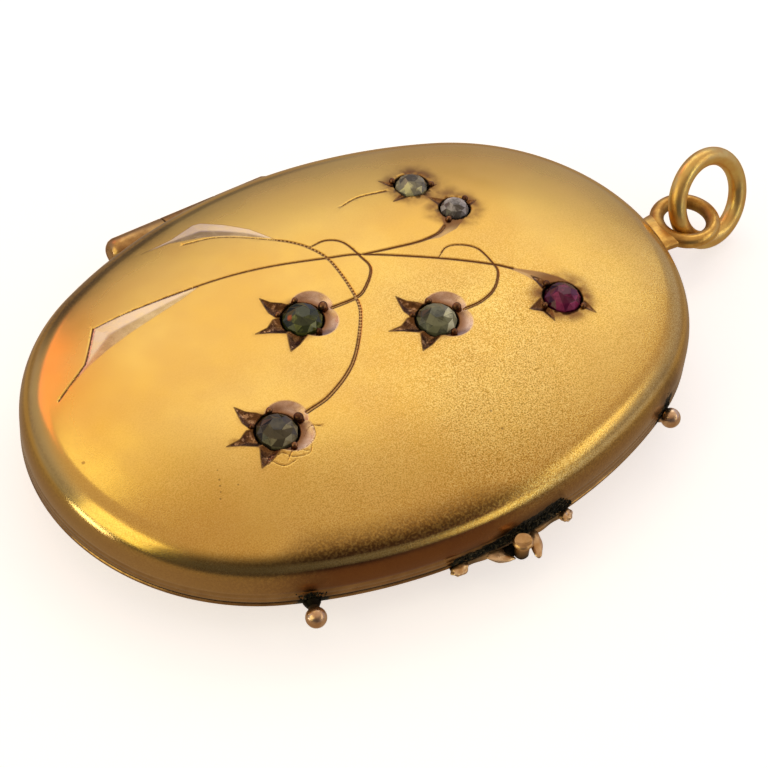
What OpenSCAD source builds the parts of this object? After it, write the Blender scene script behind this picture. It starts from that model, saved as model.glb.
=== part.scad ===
// A worn gold locket, closed and lying on its back: two stamped oval covers on a side hinge,
// six rose-cut stones set in the front, a soldered eye at one end and a wire ring through it.
// X runs along the oval towards the eye, Y across it towards the hinge, Z up out of the front.
// The origin is the middle of the small flat on the back cover, where the locket rests.

/* [Oval] */
// Width of the oval outline; its length is 56 units more
oval_w = 26; // [24:0.5:29]
// One unit of the triangles, 36 by 77 by 85 units, that place the middles of the four arcs
oval_unit = 0.18; // [0.16:0.01:0.2]

/* [Covers] */
// Thickness of the sheet
wall = 0.45; // [0.35:0.01:0.5]
// Gap between the two covers
seam_gap = 0.06; // [0.02:0.01:0.1]
// Height of the front cover above the seam
front_h = 3.74; // [3.4:0.02:4]
// Height of the front cover's upright edge
front_edge_h = 1; // [0.8:0.1:1.2]
// Radius of the front cover's rolled edge
front_roll_r = 1.9; // [1.6:0.1:2]
// Radius of the front's dome
front_dome_r = 30; // [26:1:34]
// Depth of the back cover below the seam
back_h = 2.24; // [2.1:0.02:2.4]
// Radius of the back cover's rolled edge
back_roll_r = 4; // [3.8:0.1:4.2]
// Radius of the back's dome
back_dome_r = 22; // [20:1:26]

/* [Hinge] */
// Length of the hinge barrel
hinge_l = 10.2; // [8:0.2:13]
// Place of the barrel's middle along the oval, from the oval's middle
hinge_x = -1.7; // [-2:0.1:0]
// Radius of the barrel
knuckle_r = 0.8; // [0.7:0.05:0.9]
// Distance of the hinge axis outside the oval
hinge_out = 0.6; // [0.55:0.05:0.75]
// Depth of the hinge axis below the seam
hinge_drop = 0.15; // [0:0.05:0.3]
// Radius of the pin
pin_r = 0.35; // [0.25:0.05:0.4]

/* [Eye and ring] */
// Distance of the eye's middle from the end of the oval
eye_out = 3.24; // [3.1:0.02:3.4]
// Radius of the eye, to the middle of its wire
eye_r = 1.55; // [1.5:0.01:1.6]
// Radius of the eye's wire
eye_wire_r = 0.4; // [0.34:0.02:0.4]
// Width of the eye's base at the oval
eye_base_w = 3; // [2.4:0.1:3.4]
// Radius of the jump ring, to the middle of its wire
ring_r = 2.33; // [2.3:0.01:2.4]
// Radius of the jump ring's wire
ring_wire_r = 0.5; // [0.4:0.02:0.5]
// Height of the jump ring's middle above the seam
ring_rise = 0.5; // [0.45:0.01:0.6]
// How far the jump ring leans back from upright
ring_lean = 25.3; // [24:0.1:27]
// How far the jump ring is turned from the long axis
ring_turn = 7.5; // [6:0.5:9]

/* [Studs and catch] */
// Radius of the ball studs
stud_r = 0.52; // [0.4:0.02:0.6]
// Radius of the catch post's head
post_head_r = 0.52; // [0.45:0.01:0.6]
// Radius of the catch post
post_r = 0.36; // [0.3:0.02:0.4]
// Height of the post's head above the seam
post_rise = 0.6; // [0.4:0.1:0.8]
// Length of the catch plate, between the middles of its two lobes
plate_l = 6.3; // [6:0.1:6.6]
// Thickness of the catch plate
plate_t = 0.35; // [0.25:0.05:0.45]
// How far the catch plate stands out between its lobes
plate_out = 0.12; // [0.1:0.01:0.2]

/* [Stones] */
// Width of the stones in the three flowers
star_stone_w = 2.05; // [1.8:0.05:2.2]
// Width of the ruby
ruby_w = 1.9; // [1.8:0.05:2.2]
// Width of the upper bud stone
bud_upper_w = 1.7; // [1.5:0.05:1.9]
// Width of the lower bud stone
bud_lower_w = 1.5; // [1.4:0.05:1.7]
// Depth of the stone seats
seat_depth = 0.3; // [0.25:0.01:0.32]
// Height of a stone above the metal
stone_rise = 0.5; // [0.3:0.02:0.6]
// Height of the ruby above the metal
ruby_rise = 0.6; // [0.3:0.02:0.6]
// Depth of the flowers' recesses
star_depth = 0.14; // [0.08:0.02:0.2]

/* [Hidden] */
$fn = 96;

gold = [0.83, 0.62, 0.27];

// The oval: the end arcs and the long side arcs meet on the lines through their middles
half_w = oval_w / 2;
end_x = 36 * oval_unit;
side_y = 77 * oval_unit;
side_r = half_w + side_y;
end_r = side_r - 85 * oval_unit;
half_l = end_x + end_r;
// Sizes of windows and cutters: past the middle of the oval, and past the top of the front
reach = half_w + 1;
clear = 5;

// Sections: X is 0 at the outline and negative inwards, Y is 0 at the seam.
// The dome's arc is let out by a hair, so that it crosses the rolled edge's arc cleanly
arc_overlap = 0.004;
roll_c = [-front_roll_r, front_edge_h];
dome_c = dome_middle(roll_c, front_roll_r, front_dome_r, front_h);
back_roll_c = [-3.06, -2.38];
back_dome_c = dome_middle(back_roll_c, back_roll_r, back_dome_r, back_h);

// Places of the fittings
hinge_y = half_w + hinge_out;
knuckle_gap = 0.06;
front_pin_play = 0.02;
back_pin_play = 0.01;
leaf_t = 0.5;
leaf_in = 1.4;
fit_gap = 0.05;
// How deep the soldered parts run into the sheet
solder_in = wall * 0.6;
eye_x = half_l + eye_out;
eye_z = -0.22;
eye_neck_t = 0.6;
eye_neck_l = eye_out - 1;
eye_flare = 0.15;
eye_flare_l = 0.5;
ring_x = eye_x + eye_r + 0.11;
ring_y = 0.23;

// Ball studs on the catch side: [place along the oval, distance outside it]
studs = [[-10.2, 0.96], [11.4, 0.42]];
stud_z = -0.12;
stud_neck_l = 1.2;
post_x = 0.1;
post_out = 0.7;
post_foot = 0.5;
plate_top = -0.12;
lobe_r = 0.44;
lobe_out = 0.14;

// Leaves of the catch plate: distance from the post along the oval, and outside it
round_leaf = [-1.05, 0.3];
round_leaf_r = 0.6;
pointed_leaf = [1.2, 0.05];
pointed_leaf_turn = -115;

// Stones on the front
star_left = [-7.75, -3.9];
star_middle = [-2.7, 1.62];
star_right = [3.05, -1.86];
bud_upper = [7.6, 6.9];
bud_lower = [8.42, 4.15];
ruby_at = [9.42, -3.9];

// Petals of a flower round its stone: pointed ones [direction, length] and round ones [direction, distance]
pointed_petals = [[112, 2.4], [171, 2.58], [219, 2.4]];
petal_half_w = 0.95;
round_petals = [[43, 1.32], [317, 1.28]];
round_petal_r = 0.62;
seat_play = 0.02;
grain_r = 0.2;
grain_gap = 0.04;

// Middle of the arc, of radius big and highest at top, that runs on from an arc of radius r round c
function dome_middle(c, r, big, top) =
    let (y = top - big, d = big - r + arc_overlap)
    [c.x - sqrt(d * d - pow(c.y - y, 2)), y];
// Where the dome runs on from the rolled edge
function run_on(c, r, dome) = c.x + r * (c.x - dome.x) / norm(c - dome);

// Place on the front: distance from the outline, way out, slope and height
function on_end(p) = abs(p.y) * end_x < side_y * (abs(p.x) - end_x);
function arc_middle(p) = on_end(p) ? [sign(p.x) * end_x, 0] : [0, -sign(p.y) * side_y];
function inset(p) = (on_end(p) ? end_r : side_r) - norm(p - arc_middle(p));
function turn_of(p) = atan2(p.y - arc_middle(p).y, p.x - arc_middle(p).x);
function slope(p) = asin(max(-dome_c.x - inset(p), 0) / front_dome_r);
function front_z(p) = dome_c.y + front_dome_r * cos(slope(p));
// Place at distance out from the catch side, outside the point of the outline at x
function beside(x, out) =
    let (way = [x, -sqrt(side_r * side_r - x * x)] / side_r)
    [0, side_y] + (side_r + out) * way;

// Everything is drawn with the seam at zero and then lifted so that the back rests at zero
module at_seam() {
    translate([0, 0, back_h]) children();
}

// Carries a flat section, drawn inwards from X = 0, all round the oval
module round_the_oval() {
    for (side = [0, 180])
        rotate([0, 0, side]) {
            part_of_oval([end_x, 0], end_r, 180,
                [[end_x, 0], [3 * end_x, -2 * side_y], [3 * end_x, 2 * side_y]]) children();
            part_of_oval([0, -side_y], side_r, 270,
                [[-end_x, 0], [end_x, 0], [3 * end_x, 2 * side_y], [-3 * end_x, 2 * side_y]]) children();
        }
}

// The section turned about the middle of one arc, and cut to that arc's share of the oval
module part_of_oval(middle, r, start, share) {
    intersection() {
        translate([middle.x, middle.y, 0])
            rotate([0, 0, start])
                rotate_extrude()
                    intersection() {
                        translate([r, 0]) children();
                        window(0, r, -clear, clear);
                    }
        translate([0, 0, -clear]) linear_extrude(2 * clear) polygon(share);
    }
}

// A window onto the section from x0 to x1 and from z0 to z1
module window(x0, x1, z0, z1) {
    translate([x0, z0]) square([x1 - x0, z1 - z0]);
}

// Filled section of the front cover, with t taken off its outside
module front_section(t) {
    window(-reach, -t, -1, front_edge_h);
    intersection() {
        translate(roll_c) circle(front_roll_r - t);
        window(-reach, 1, front_edge_h, front_h);
    }
    intersection() {
        translate(dome_c) circle(front_dome_r - t);
        window(dome_c.x, run_on(roll_c, front_roll_r, dome_c), front_edge_h - 0.5, clear);
    }
    window(-reach, dome_c.x, 0, front_h - t);
}

// Filled section of the back cover, drawn upwards, with t taken off its outside
module back_section(t) {
    turn_x = run_on(back_roll_c, back_roll_r, back_dome_c);
    intersection() {
        translate(back_roll_c) circle(back_roll_r - t);
        window(turn_x - 1, 0, -0.5, clear);
    }
    intersection() {
        translate(back_dome_c) circle(back_dome_r - t);
        window(back_dome_c.x, turn_x, -0.5, clear);
    }
    window(-reach, back_dome_c.x, -0.5, back_h - t);
}

module front_shell() {
    round_the_oval()
        difference() {
            front_section(0);
            front_section(wall);
            window(-reach - 1, 1, -2, seam_gap / 2);
        }
}

module back_shell() {
    round_the_oval()
        mirror([0, 1])
            difference() {
                back_section(0);
                back_section(wall);
                window(-reach - 1, 1, -2, seam_gap / 2);
            }
}

// A round bar along X on the hinge axis, between two distances from the barrel's middle
module hinge_bar(x_from, x_to, r) {
    translate([hinge_x + x_from, hinge_y, -hinge_drop])
        rotate([0, 90, 0]) cylinder(h = x_to - x_from, r = r);
}

// One knuckle with the leaf that is soldered to its cover; the front cover's lies above the seam
module knuckle(x_from, x_to, above) {
    hinge_bar(x_from, x_to, knuckle_r);
    difference() {
        translate([hinge_x + x_from, half_w - leaf_in, above ? seam_gap / 2 : -seam_gap / 2 - leaf_t])
            cube([x_to - x_from, leaf_in + hinge_out, leaf_t]);
        translate([0, -side_y, -1]) cylinder(h = 2, r = side_r - solder_in);
    }
}

// Stands its children on the front's outside at p, square to the surface
module on_front(p) {
    translate([p.x, p.y, front_z(p)])
        rotate([0, 0, turn_of(p)])
            rotate([0, slope(p), 0])
                rotate([0, 0, -turn_of(p)])
                    children();
}

module seat(w) {
    translate([0, 0, -seat_depth]) cylinder(h = seat_depth + 1, r = w / 2 + seat_play);
}

// Small beads of metal round a stone of width w
module grains(w, directions) {
    for (direction = directions)
        rotate([0, 0, direction])
            translate([w / 2 + grain_gap + grain_r, 0, 0.02]) sphere(grain_r);
}

// A flower cut into the metal round a stone
module star_recess() {
    translate([0, 0, -star_depth])
        linear_extrude(1) {
            for (petal = pointed_petals)
                rotate(petal[0]) polygon([[0, -petal_half_w], [petal[1], 0], [0, petal_half_w]]);
            for (petal = round_petals)
                rotate(petal[0]) translate([petal[1], 0]) circle(round_petal_r);
        }
}

module front_cover() {
    knuckle_end = hinge_l / 6 - knuckle_gap / 2;
    stars = [star_left, star_middle, star_right];
    color(gold)
        at_seam() {
            difference() {
                union() {
                    front_shell();
                    knuckle(-knuckle_end, knuckle_end, true);
                }
                for (p = stars)
                    on_front(p) {
                        star_recess();
                        seat(star_stone_w);
                    }
                on_front(ruby_at) seat(ruby_w);
                on_front(bud_upper) seat(bud_upper_w);
                on_front(bud_lower) seat(bud_lower_w);
                for (side = [-1, 1])
                    translate([side * hinge_l / 3, 0, 0])
                        hinge_bar(-hinge_l / 6 - knuckle_gap / 2, hinge_l / 6 + knuckle_gap,
                            knuckle_r + knuckle_gap);
                hinge_bar(-hinge_l, hinge_l, pin_r + front_pin_play);
            }
            for (p = stars)
                on_front(p) grains(star_stone_w, [5, 75, 140, 280]);
            on_front(ruby_at) grains(ruby_w, [100, 182, 300]);
            on_front(bud_upper) grains(bud_upper_w, [130, 331]);
            on_front(bud_lower) grains(bud_lower_w, [20, 215]);
        }
}

// Leaves room for the closed front cover over its catch side
module clear_of_front() {
    difference() {
        children();
        translate([0, side_y, -seam_gap / 2]) cylinder(h = clear, r = side_r + fit_gap);
    }
}

module ball_stud(place) {
    clear_of_front()
        translate([place.x, place.y, stud_z]) {
            sphere(stud_r);
            rotate([0, 0, atan2(place.y - side_y, place.x)])
                translate([-stud_neck_l, 0, -0.1])
                    rotate([0, 90, 0]) cylinder(h = stud_neck_l, r1 = 0.42, r2 = 0.3);
        }
}

// The scalloped plate: a strip along the edge with a lobe at each end and two leaves
module catch_plate() {
    translate([0, 0, plate_top - plate_t])
        linear_extrude(plate_t) {
            intersection() {
                translate([0, side_y])
                    difference() {
                        circle(side_r + plate_out);
                        circle(side_r - solder_in);
                    }
                translate([post_x - plate_l / 2, -half_w - 1]) square([plate_l, 2]);
            }
            for (side = [-1, 1])
                translate(beside(post_x + side * plate_l / 2, lobe_out)) circle(lobe_r);
            translate(beside(post_x + round_leaf.x, round_leaf.y)) circle(round_leaf_r);
            translate(beside(post_x + pointed_leaf.x, pointed_leaf.y)) rotate(pointed_leaf_turn) leaf();
        }
}

// A pointed leaf along X, where two round outlines overlap
module leaf() {
    leaf_middle = 0.7;
    leaf_r = 1.1;
    leaf_half_w = 0.35;
    intersection() {
        translate([leaf_middle, leaf_r - leaf_half_w]) circle(leaf_r);
        translate([leaf_middle, leaf_half_w - leaf_r]) circle(leaf_r);
    }
}

// The headed post that the front cover's edge snaps behind, on a block that joins it to the rim
module catch_post() {
    head_h = 0.25;
    dish_r = 1.4;
    dish = 0.07;
    translate([post_x, -half_w - post_out, 0]) {
        translate([0, 0, -post_foot]) cylinder(h = post_foot + post_rise - head_h / 2, r = post_r);
        difference() {
            translate([0, 0, post_rise - head_h]) cylinder(h = head_h, r = post_head_r);
            translate([0, 0, post_rise - dish + dish_r]) sphere(dish_r);
        }
        translate([-post_r, 0, -post_foot]) cube([2 * post_r, post_out + solder_in, post_foot + plate_top]);
    }
}

// The eye: a ring of round wire lying level, on a base that flares towards the cover
module eye() {
    base = eye_base_w / 2;
    translate([eye_x, 0, eye_z])
        rotate_extrude() translate([eye_r, 0]) circle(eye_wire_r);
    difference() {
        translate([0, 0, eye_z - eye_neck_t / 2])
            linear_extrude(eye_neck_t)
                polygon([[half_l - solder_in, -base], [half_l + eye_flare_l, -base + eye_flare],
                         [half_l + eye_neck_l, -eye_r], [half_l + eye_neck_l, eye_r],
                         [half_l + eye_flare_l, base - eye_flare], [half_l - solder_in, base]]);
        translate([eye_x, 0, -1]) cylinder(h = 2, r = eye_r);
        translate([end_x, 0, -seam_gap / 2]) cylinder(h = 2, r = end_r + fit_gap);
    }
}

module back_cover() {
    inner_end = hinge_l / 6 + knuckle_gap / 2;
    color(gold)
        at_seam() {
            difference() {
                union() {
                    back_shell();
                    knuckle(-hinge_l / 2, -inner_end, false);
                    knuckle(inner_end, hinge_l / 2, false);
                }
                hinge_bar(-inner_end, inner_end, knuckle_r + knuckle_gap);
                hinge_bar(-hinge_l, hinge_l, pin_r + back_pin_play);
            }
            eye();
            for (s = studs)
                ball_stud(beside(s[0], s[1]));
            catch_plate();
            catch_post();
        }
}

module hinge_pin() {
    color(gold)
        at_seam() hinge_bar(-hinge_l / 2, hinge_l / 2, pin_r);
}

module jump_ring() {
    color(gold)
        at_seam()
            translate([ring_x, ring_y, ring_rise])
                rotate([0, 0, ring_turn])
                    rotate([90 - ring_lean, 0, 0])
                        rotate_extrude() translate([ring_r, 0]) circle(ring_wire_r);
}

// A rose cut: flat base, twelve-sided girdle, two rings of twelve facets and a small table
module rose_cut(w, rise = stone_rise) {
    base_z = 0.01 - seat_depth;
    girdle_h = seat_depth - 0.05;
    first_h = rise * 0.6;
    middle_r = w * 0.34;
    table_r = w * 0.12;
    translate([0, 0, base_z]) {
        cylinder(h = girdle_h, r = w / 2, $fn = 12);
        translate([0, 0, girdle_h]) {
            cylinder(h = first_h, r1 = w / 2, r2 = middle_r, $fn = 12);
            translate([0, 0, first_h])
                cylinder(h = rise - first_h, r1 = middle_r, r2 = table_r, $fn = 12);
        }
    }
}

module star_stone_left() {
    color([0.42, 0.44, 0.36]) at_seam() on_front(star_left) rose_cut(star_stone_w);
}

module star_stone_middle() {
    color([0.5, 0.46, 0.24]) at_seam() on_front(star_middle) rose_cut(star_stone_w);
}

module star_stone_right() {
    color([0.62, 0.64, 0.52]) at_seam() on_front(star_right) rose_cut(star_stone_w);
}

module bud_stone_upper() {
    color([0.6, 0.6, 0.55]) at_seam() on_front(bud_upper) rose_cut(bud_upper_w);
}

module bud_stone_lower() {
    color([0.82, 0.84, 0.86]) at_seam() on_front(bud_lower) rose_cut(bud_lower_w);
}

module ruby() {
    color([0.42, 0.06, 0.16]) at_seam() on_front(ruby_at) rose_cut(ruby_w, ruby_rise);
}

front_cover();
back_cover();
hinge_pin();
jump_ring();
star_stone_left();
star_stone_middle();
star_stone_right();
bud_stone_upper();
bud_stone_lower();
ruby();
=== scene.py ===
"""A worn gold locket with a stone-set flower spray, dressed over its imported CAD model.

Lengths in the sections are in millimetres, with the seam between the covers at height zero.
"""

import math

import bmesh
import bpy
import numpy as np
from mathutils import Matrix, Vector
from mathutils.geometry import delaunay_2d_cdt


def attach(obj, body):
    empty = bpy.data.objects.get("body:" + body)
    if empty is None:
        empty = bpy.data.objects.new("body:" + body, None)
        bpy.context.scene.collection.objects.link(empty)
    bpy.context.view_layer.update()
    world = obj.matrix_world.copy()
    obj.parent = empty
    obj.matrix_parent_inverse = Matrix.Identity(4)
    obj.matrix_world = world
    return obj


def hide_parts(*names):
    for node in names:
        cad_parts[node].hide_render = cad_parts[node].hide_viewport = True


# The frame and the camera
# The locket lies on its back and is seen from over its catch side, a little to the left.
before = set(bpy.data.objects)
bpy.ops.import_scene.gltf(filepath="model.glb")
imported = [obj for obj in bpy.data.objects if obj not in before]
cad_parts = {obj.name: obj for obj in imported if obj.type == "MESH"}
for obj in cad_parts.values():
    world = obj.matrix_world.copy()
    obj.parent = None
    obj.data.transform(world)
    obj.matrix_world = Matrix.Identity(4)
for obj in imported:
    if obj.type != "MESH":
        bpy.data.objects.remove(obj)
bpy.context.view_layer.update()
mm = 0.001
back_depth = 2.24  # the seam's height above the table

camera_away = 130
camera_azimuth, camera_height, camera_roll = (math.radians(a) for a in (-37.5, 47.64, 4.7))
frame_px, lens_px, seam_px = 768, 2553.8, (361.4, 368.1)
sensor = 36

backwards = Vector((math.sin(camera_azimuth) * math.cos(camera_height),
                    -math.cos(camera_azimuth) * math.cos(camera_height), math.sin(camera_height)))
level = (-backwards).cross(Vector((0, 0, 1))).normalized()
upright = level.cross(-backwards)
right = level * math.cos(camera_roll) + upright * math.sin(camera_roll)
above = upright * math.cos(camera_roll) - level * math.sin(camera_roll)
aim = Vector(((seam_px[0] - frame_px / 2) / lens_px,
              -(seam_px[1] - frame_px / 2) / lens_px, 1)).normalized()
turn = Vector((0, 0, 1)).rotation_difference(aim).to_matrix() @ Matrix((right, above, -backwards))


def in_scene(name, data):
    """A new object of the scene for that camera, mesh or light."""
    made = bpy.data.objects.new(name, data)
    bpy.context.scene.collection.objects.link(made)
    return made


camera = in_scene("camera", bpy.data.cameras.new("camera"))
camera.data.sensor_width = sensor
camera.data.lens = sensor * lens_px / frame_px
camera.data.clip_start = 0.01
camera.matrix_world = Matrix.Translation(
    (backwards * camera_away + Vector((0, 0, back_depth))) * mm
) @ Matrix((turn[0], turn[1], -turn[2])).transposed().to_4x4()
bpy.context.scene.camera = camera
bpy.context.scene.view_settings.view_transform = "Standard"


# The front cover
# One stamped sheet of yellow gold: an upright edge, a rolled shoulder and a low dome with a satin
# bloom. The spray is cut into it by hand, and the cuts keep a bright or a tarnished face, with painted
# reflections, highlights and shade in them. Round the rim a brown band is partly tarnish and partly painted
# dark reflection.
# The outline is two end arcs and two side arcs, whose middles are the corners of right triangles.
half_w = 13.0
unit = 0.18
short_leg, long_leg, slope = 36, 77, 85
end_x, side_y = short_leg * unit, long_leg * unit
side_r = half_w + side_y
end_r = side_r - slope * unit
half_l = end_x + end_r
joint_turn = math.atan2(long_leg, short_leg)
steps_round = 480
wall = 0.45
seam_half = 0.03  # half the gap between the covers
front_roll_r, front_edge_h = 1.9, 1.0
dome_in, dome_z, dome_r = 8.7357, -26.26, 30.0
dome_start = 1.4379  # where the shoulder ends and the dome starts, inside the outline
hinge_y, hinge_z = half_w + 0.6, -0.15
barrel_room = 0.86
barrel_x, barrel_l = -1.7, 10.2
knuckle_l = barrel_l / 3
knuckle_gap = 0.03  # left free between two knuckles by each


def outline_turns():
    """Directions of the outline's points, as close together on the end arcs as on the side arcs."""
    end_share = end_r * joint_turn / (end_r * joint_turn + side_r * (math.pi / 2 - joint_turn))
    on_ends = 2 * round(steps_round / 4 * end_share)
    on_sides = steps_round // 2 - on_ends
    turns = []
    for start, stop, count in ((-joint_turn, joint_turn, on_ends),
                               (joint_turn, math.pi - joint_turn, on_sides),
                               (math.pi - joint_turn, math.pi + joint_turn, on_ends),
                               (math.pi + joint_turn, 2 * math.pi - joint_turn, on_sides)):
        turns += list(np.linspace(start, stop, count, endpoint=False))
    return np.array(turns)


round_turns = outline_turns()


def ring_at(inset):
    """Points of the oval, inset from its outline."""
    c, s = np.cos(round_turns), np.sin(round_turns)
    at_end = np.abs(s) * short_leg <= np.abs(c) * long_leg + 1e-9
    x0 = np.where(at_end, np.sign(c) * end_x, 0)
    y0 = np.where(at_end, 0, -np.sign(s) * side_y)
    r = np.where(at_end, end_r, side_r) - inset
    return np.c_[x0 + r * c, y0 + r * s]


def inset_of(x, y):
    """How far points lie inside the outline, and their way out."""
    at_end = np.abs(y) * end_x < side_y * (np.abs(x) - end_x)
    x0 = np.where(at_end, np.sign(x) * end_x, 0)
    y0 = np.where(at_end, 0, -np.sign(y) * side_y)
    away = np.hypot(x - x0, y - y0)
    return np.where(at_end, end_r, side_r) - away, (x - x0) / away, (y - y0) / away


def dome_height(x, y):
    """The plain dome's height over the seam, without its cuts."""
    inwards = np.maximum(dome_in - inset_of(x, y)[0], 0)
    return dome_z + np.sqrt(dome_r ** 2 - inwards ** 2)


def bands(rows, sides):
    """Faces that join each row of corners to the next one, all the way round."""
    return [(row * sides + k, row * sides + (k + 1) % sides,
             (row + 1) * sides + (k + 1) % sides, (row + 1) * sides + k)
            for row in range(rows - 1) for k in range(sides)]


def sweep(section, closed_by_flat=False):
    """Carries (inset, height) points all round the oval. Returns corners and faces."""
    corners = np.concatenate([np.c_[ring_at(i), np.full(len(round_turns), z)] for i, z in section])
    faces = bands(len(section), len(round_turns))
    if closed_by_flat:
        faces.append(tuple(range(len(corners) - len(round_turns), len(corners))))
    return corners, faces


def smooth_path(points, step):
    """A smooth line through given points, cut into steps of about that length."""
    p = np.array(points, float)
    p = np.vstack([2 * p[0] - p[1], p, 2 * p[-1] - p[-2]])
    line = []
    for a, b, c, d in zip(p, p[1:], p[2:], p[3:]):
        count = max(2, int(np.linalg.norm(c - b) / step) + 1)
        for t in np.linspace(0, 1, count, endpoint=False):
            line.append(0.5 * (2 * b + (c - a) * t + (2 * a - 5 * b + 4 * c - d) * t ** 2
                               + (3 * b - a - 3 * c + d) * t ** 3))
    return np.array(line + [p[-2]])


def from_path(points, path):
    """Distance of each point from a line, and how far along it the nearest place is."""
    nearest = np.full(len(points), 1e9)
    along = np.zeros(len(points))
    gone = 0.0
    for a, b in zip(path, path[1:]):
        way = b - a
        size = np.hypot(*way)
        t = np.clip((points - a) @ way / size ** 2, 0, 1)
        away = np.hypot(*(points - a - t[:, None] * way).T)
        closer = away < nearest
        nearest[closer] = away[closer]
        along[closer] = (gone + t * size)[closer]
        gone += size
    return nearest, along


def within(points, outline):
    """How far points lie inside a closed outline, below zero outside it."""
    closed = np.vstack([outline, outline[:1]])
    away, _ = from_path(points, closed)
    inside = np.zeros(len(points), bool)
    for a, b in zip(closed, closed[1:]):
        crosses = (a[1] > points[:, 1]) != (b[1] > points[:, 1])
        at = a[0] + (points[:, 1] - a[1]) / (b[1] - a[1] if b[1] != a[1] else 1) * (b[0] - a[0])
        inside ^= crosses & (points[:, 0] < at)
    return np.where(inside, away, -away)


# The spray's stones: place, width, and the directions of the beads that hold each
stones = {
    "star_stone_left": ((-7.75, -3.9), 2.05, (5, 75, 140, 280)),
    "star_stone_middle": ((-2.7, 1.62), 2.05, (5, 75, 140, 280)),
    "star_stone_right": ((3.05, -1.86), 2.05, (5, 75, 140, 280)),
    "bud_stone_upper": ((7.6, 6.9), 1.7, (130, 331)),
    "bud_stone_lower": ((8.42, 4.15), 1.5, (20, 215)),
    "ruby": ((9.42, -3.9), 1.9, (100, 182, 300)),
}
stars = ("star_stone_left", "star_stone_middle", "star_stone_right")
seat_depth = 0.3
seat_edge, seat_lip = 0.03, 0.1  # a seat's wall, from its foot to its top, outside the stone

# Three thorn-shaped petals and two round ones, cut round each star's stone
petals = [
    [(-1.0, 2.25), (-0.7, 1.72), (-0.3, 1.4), (0.0, 1.0), (-0.5, 0.5), (-1.1, 0.8), (-1.2, 1.2),
     (-1.13, 1.65)],
    [(-2.58, 0.4), (-1.85, 0.4), (-1.3, 0.7), (-0.9, 0.6), (-0.8, -0.4), (-1.3, -0.38), (-2.0, 0.1)],
    [(-1.8, -1.52), (-1.55, -1.0), (-1.25, -0.45), (-0.7, -0.5), (-0.1, -0.8), (-0.5, -1.1), (-1.2, -1.4)],
]
lobes = [((0.8, 0.42), 1.08), ((0.55, -0.5), 1.1)]
petal_turns = {"star_stone_left": 0, "star_stone_middle": 3, "star_stone_right": -2}
petals_reach = 3.2

# Stems, each with half its width at its two ends
stems = [
    ([(-15.4, 3.65), (-13.5, 4.7), (-13.1, 5.0), (-12.4, 5.85), (-11.7, 6.75)], 0.03, 0.045),
    ([(-11.7, 6.75), (-10.2, 6.72), (-9.0, 6.62), (-7.8, 6.5)], 0.012, 0.03),
    ([(-7.8, 6.5), (-4.7, 6.1), (-2.2, 5.5), (0.6, 4.5), (2.4, 3.75), (5.5, 1.6), (7.6, -0.15),
      (8.4, -1.0)], 0.035, 0.06),
    ([(-4.8, 9.5), (-3.0, 8.85), (-0.8, 7.0)], 0.02, 0.02),
    ([(-0.8, 7.0), (-0.3, 6.5), (0.3, 5.6), (0.7, 4.15), (0.4, 1.5), (-0.3, 0.0), (-2.2, -2.15),
      (-4.3, -3.35), (-5.9, -3.7)], 0.055, 0.105),
    ([(0.3, 5.6), (1.3, 5.6), (2.0, 5.0), (2.2, 3.7), (2.15, 2.7), (1.1, 1.7), (0.3, 1.4),
      (-1.05, 1.45)], 0.035, 0.095),
    ([(5.6, 1.6), (6.35, 2.0), (7.1, 1.75), (7.7, 1.05), (7.75, -0.2), (7.55, -0.9), (6.7, -1.7),
      (5.65, -2.05), (4.6, -2.05)], 0.025, 0.09),
    ([(2.4, 3.75), (4.0, 3.35), (5.4, 3.05), (6.6, 3.05), (7.2, 3.3)], 0.05, 0.07),
    ([(3.5, 7.4), (4.65, 7.55), (6.2, 7.2)], 0.02, 0.05),
]
# Slips of the tool and scratches under the first flower
stems += [
    ([(-7.6, -5.45), (-6.95, -5.4), (-6.35, -5.15), (-6.1, -4.6)], 0.012, 0.018),
    ([(-8.9, -4.65), (-8.95, -5.25), (-8.55, -5.85), (-7.95, -5.85)], 0.012, 0.016),
    ([(-9.2, -5.4), (-8.3, -5.15), (-7.95, -5.6), (-7.2, -5.85), (-6.8, -5.5)], 0.016, 0.012),
    ([(-8.2, -5.6), (-7.7, -5.3), (-7.1, -5.7)], 0.02, 0.012),
    ([(-6.9, -4.9), (-6.3, -4.5), (-5.8, -4.75)], 0.012, 0.018),
]
stem_lines = [smooth_path(points, 0.12) for points, _, _ in stems]
beaded_stem = 4  # the first flower's, with a row of ticks along it

# Bright cuts, each with its far side and then its near side: two long leaves, and the flares that
# lead into the ruby and the lower bud
bright_cuts = [
    ([(-14.3, 4.15), (-13.3, 4.85), (-12.5, 5.75), (-11.7, 6.75), (-10.2, 6.7), (-7.8, 6.5),
      (-5.8, 6.2)],
     [(-7.2, 5.85), (-9.2, 5.5), (-10.4, 5.3), (-11.8, 5.0), (-13.2, 4.6)]),
    ([(-6.9, 10.2), (-5.1, 10.25), (-3.6, 10.6), (-3.2, 10.5), (-2.3, 9.6), (-1.45, 8.5),
      (-0.8, 7.05)],
     [(-1.5, 7.7), (-2.4, 8.45), (-3.7, 9.35), (-5.3, 10.0)]),
    ([(7.7, -0.3), (8.65, -1.2), (9.55, -2.0), (10.1, -2.7), (10.5, -3.5), (9.5, -3.85)],
     [(8.75, -3.1), (8.85, -2.4), (8.6, -1.7), (8.3, -1.1)]),
    ([(5.4, 3.0), (6.4, 3.05), (7.2, 3.45), (7.6, 4.2), (8.5, 4.2), (9.3, 3.9)],
     [(8.8, 3.45), (7.6, 2.8), (6.5, 2.7)]),
]
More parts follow.
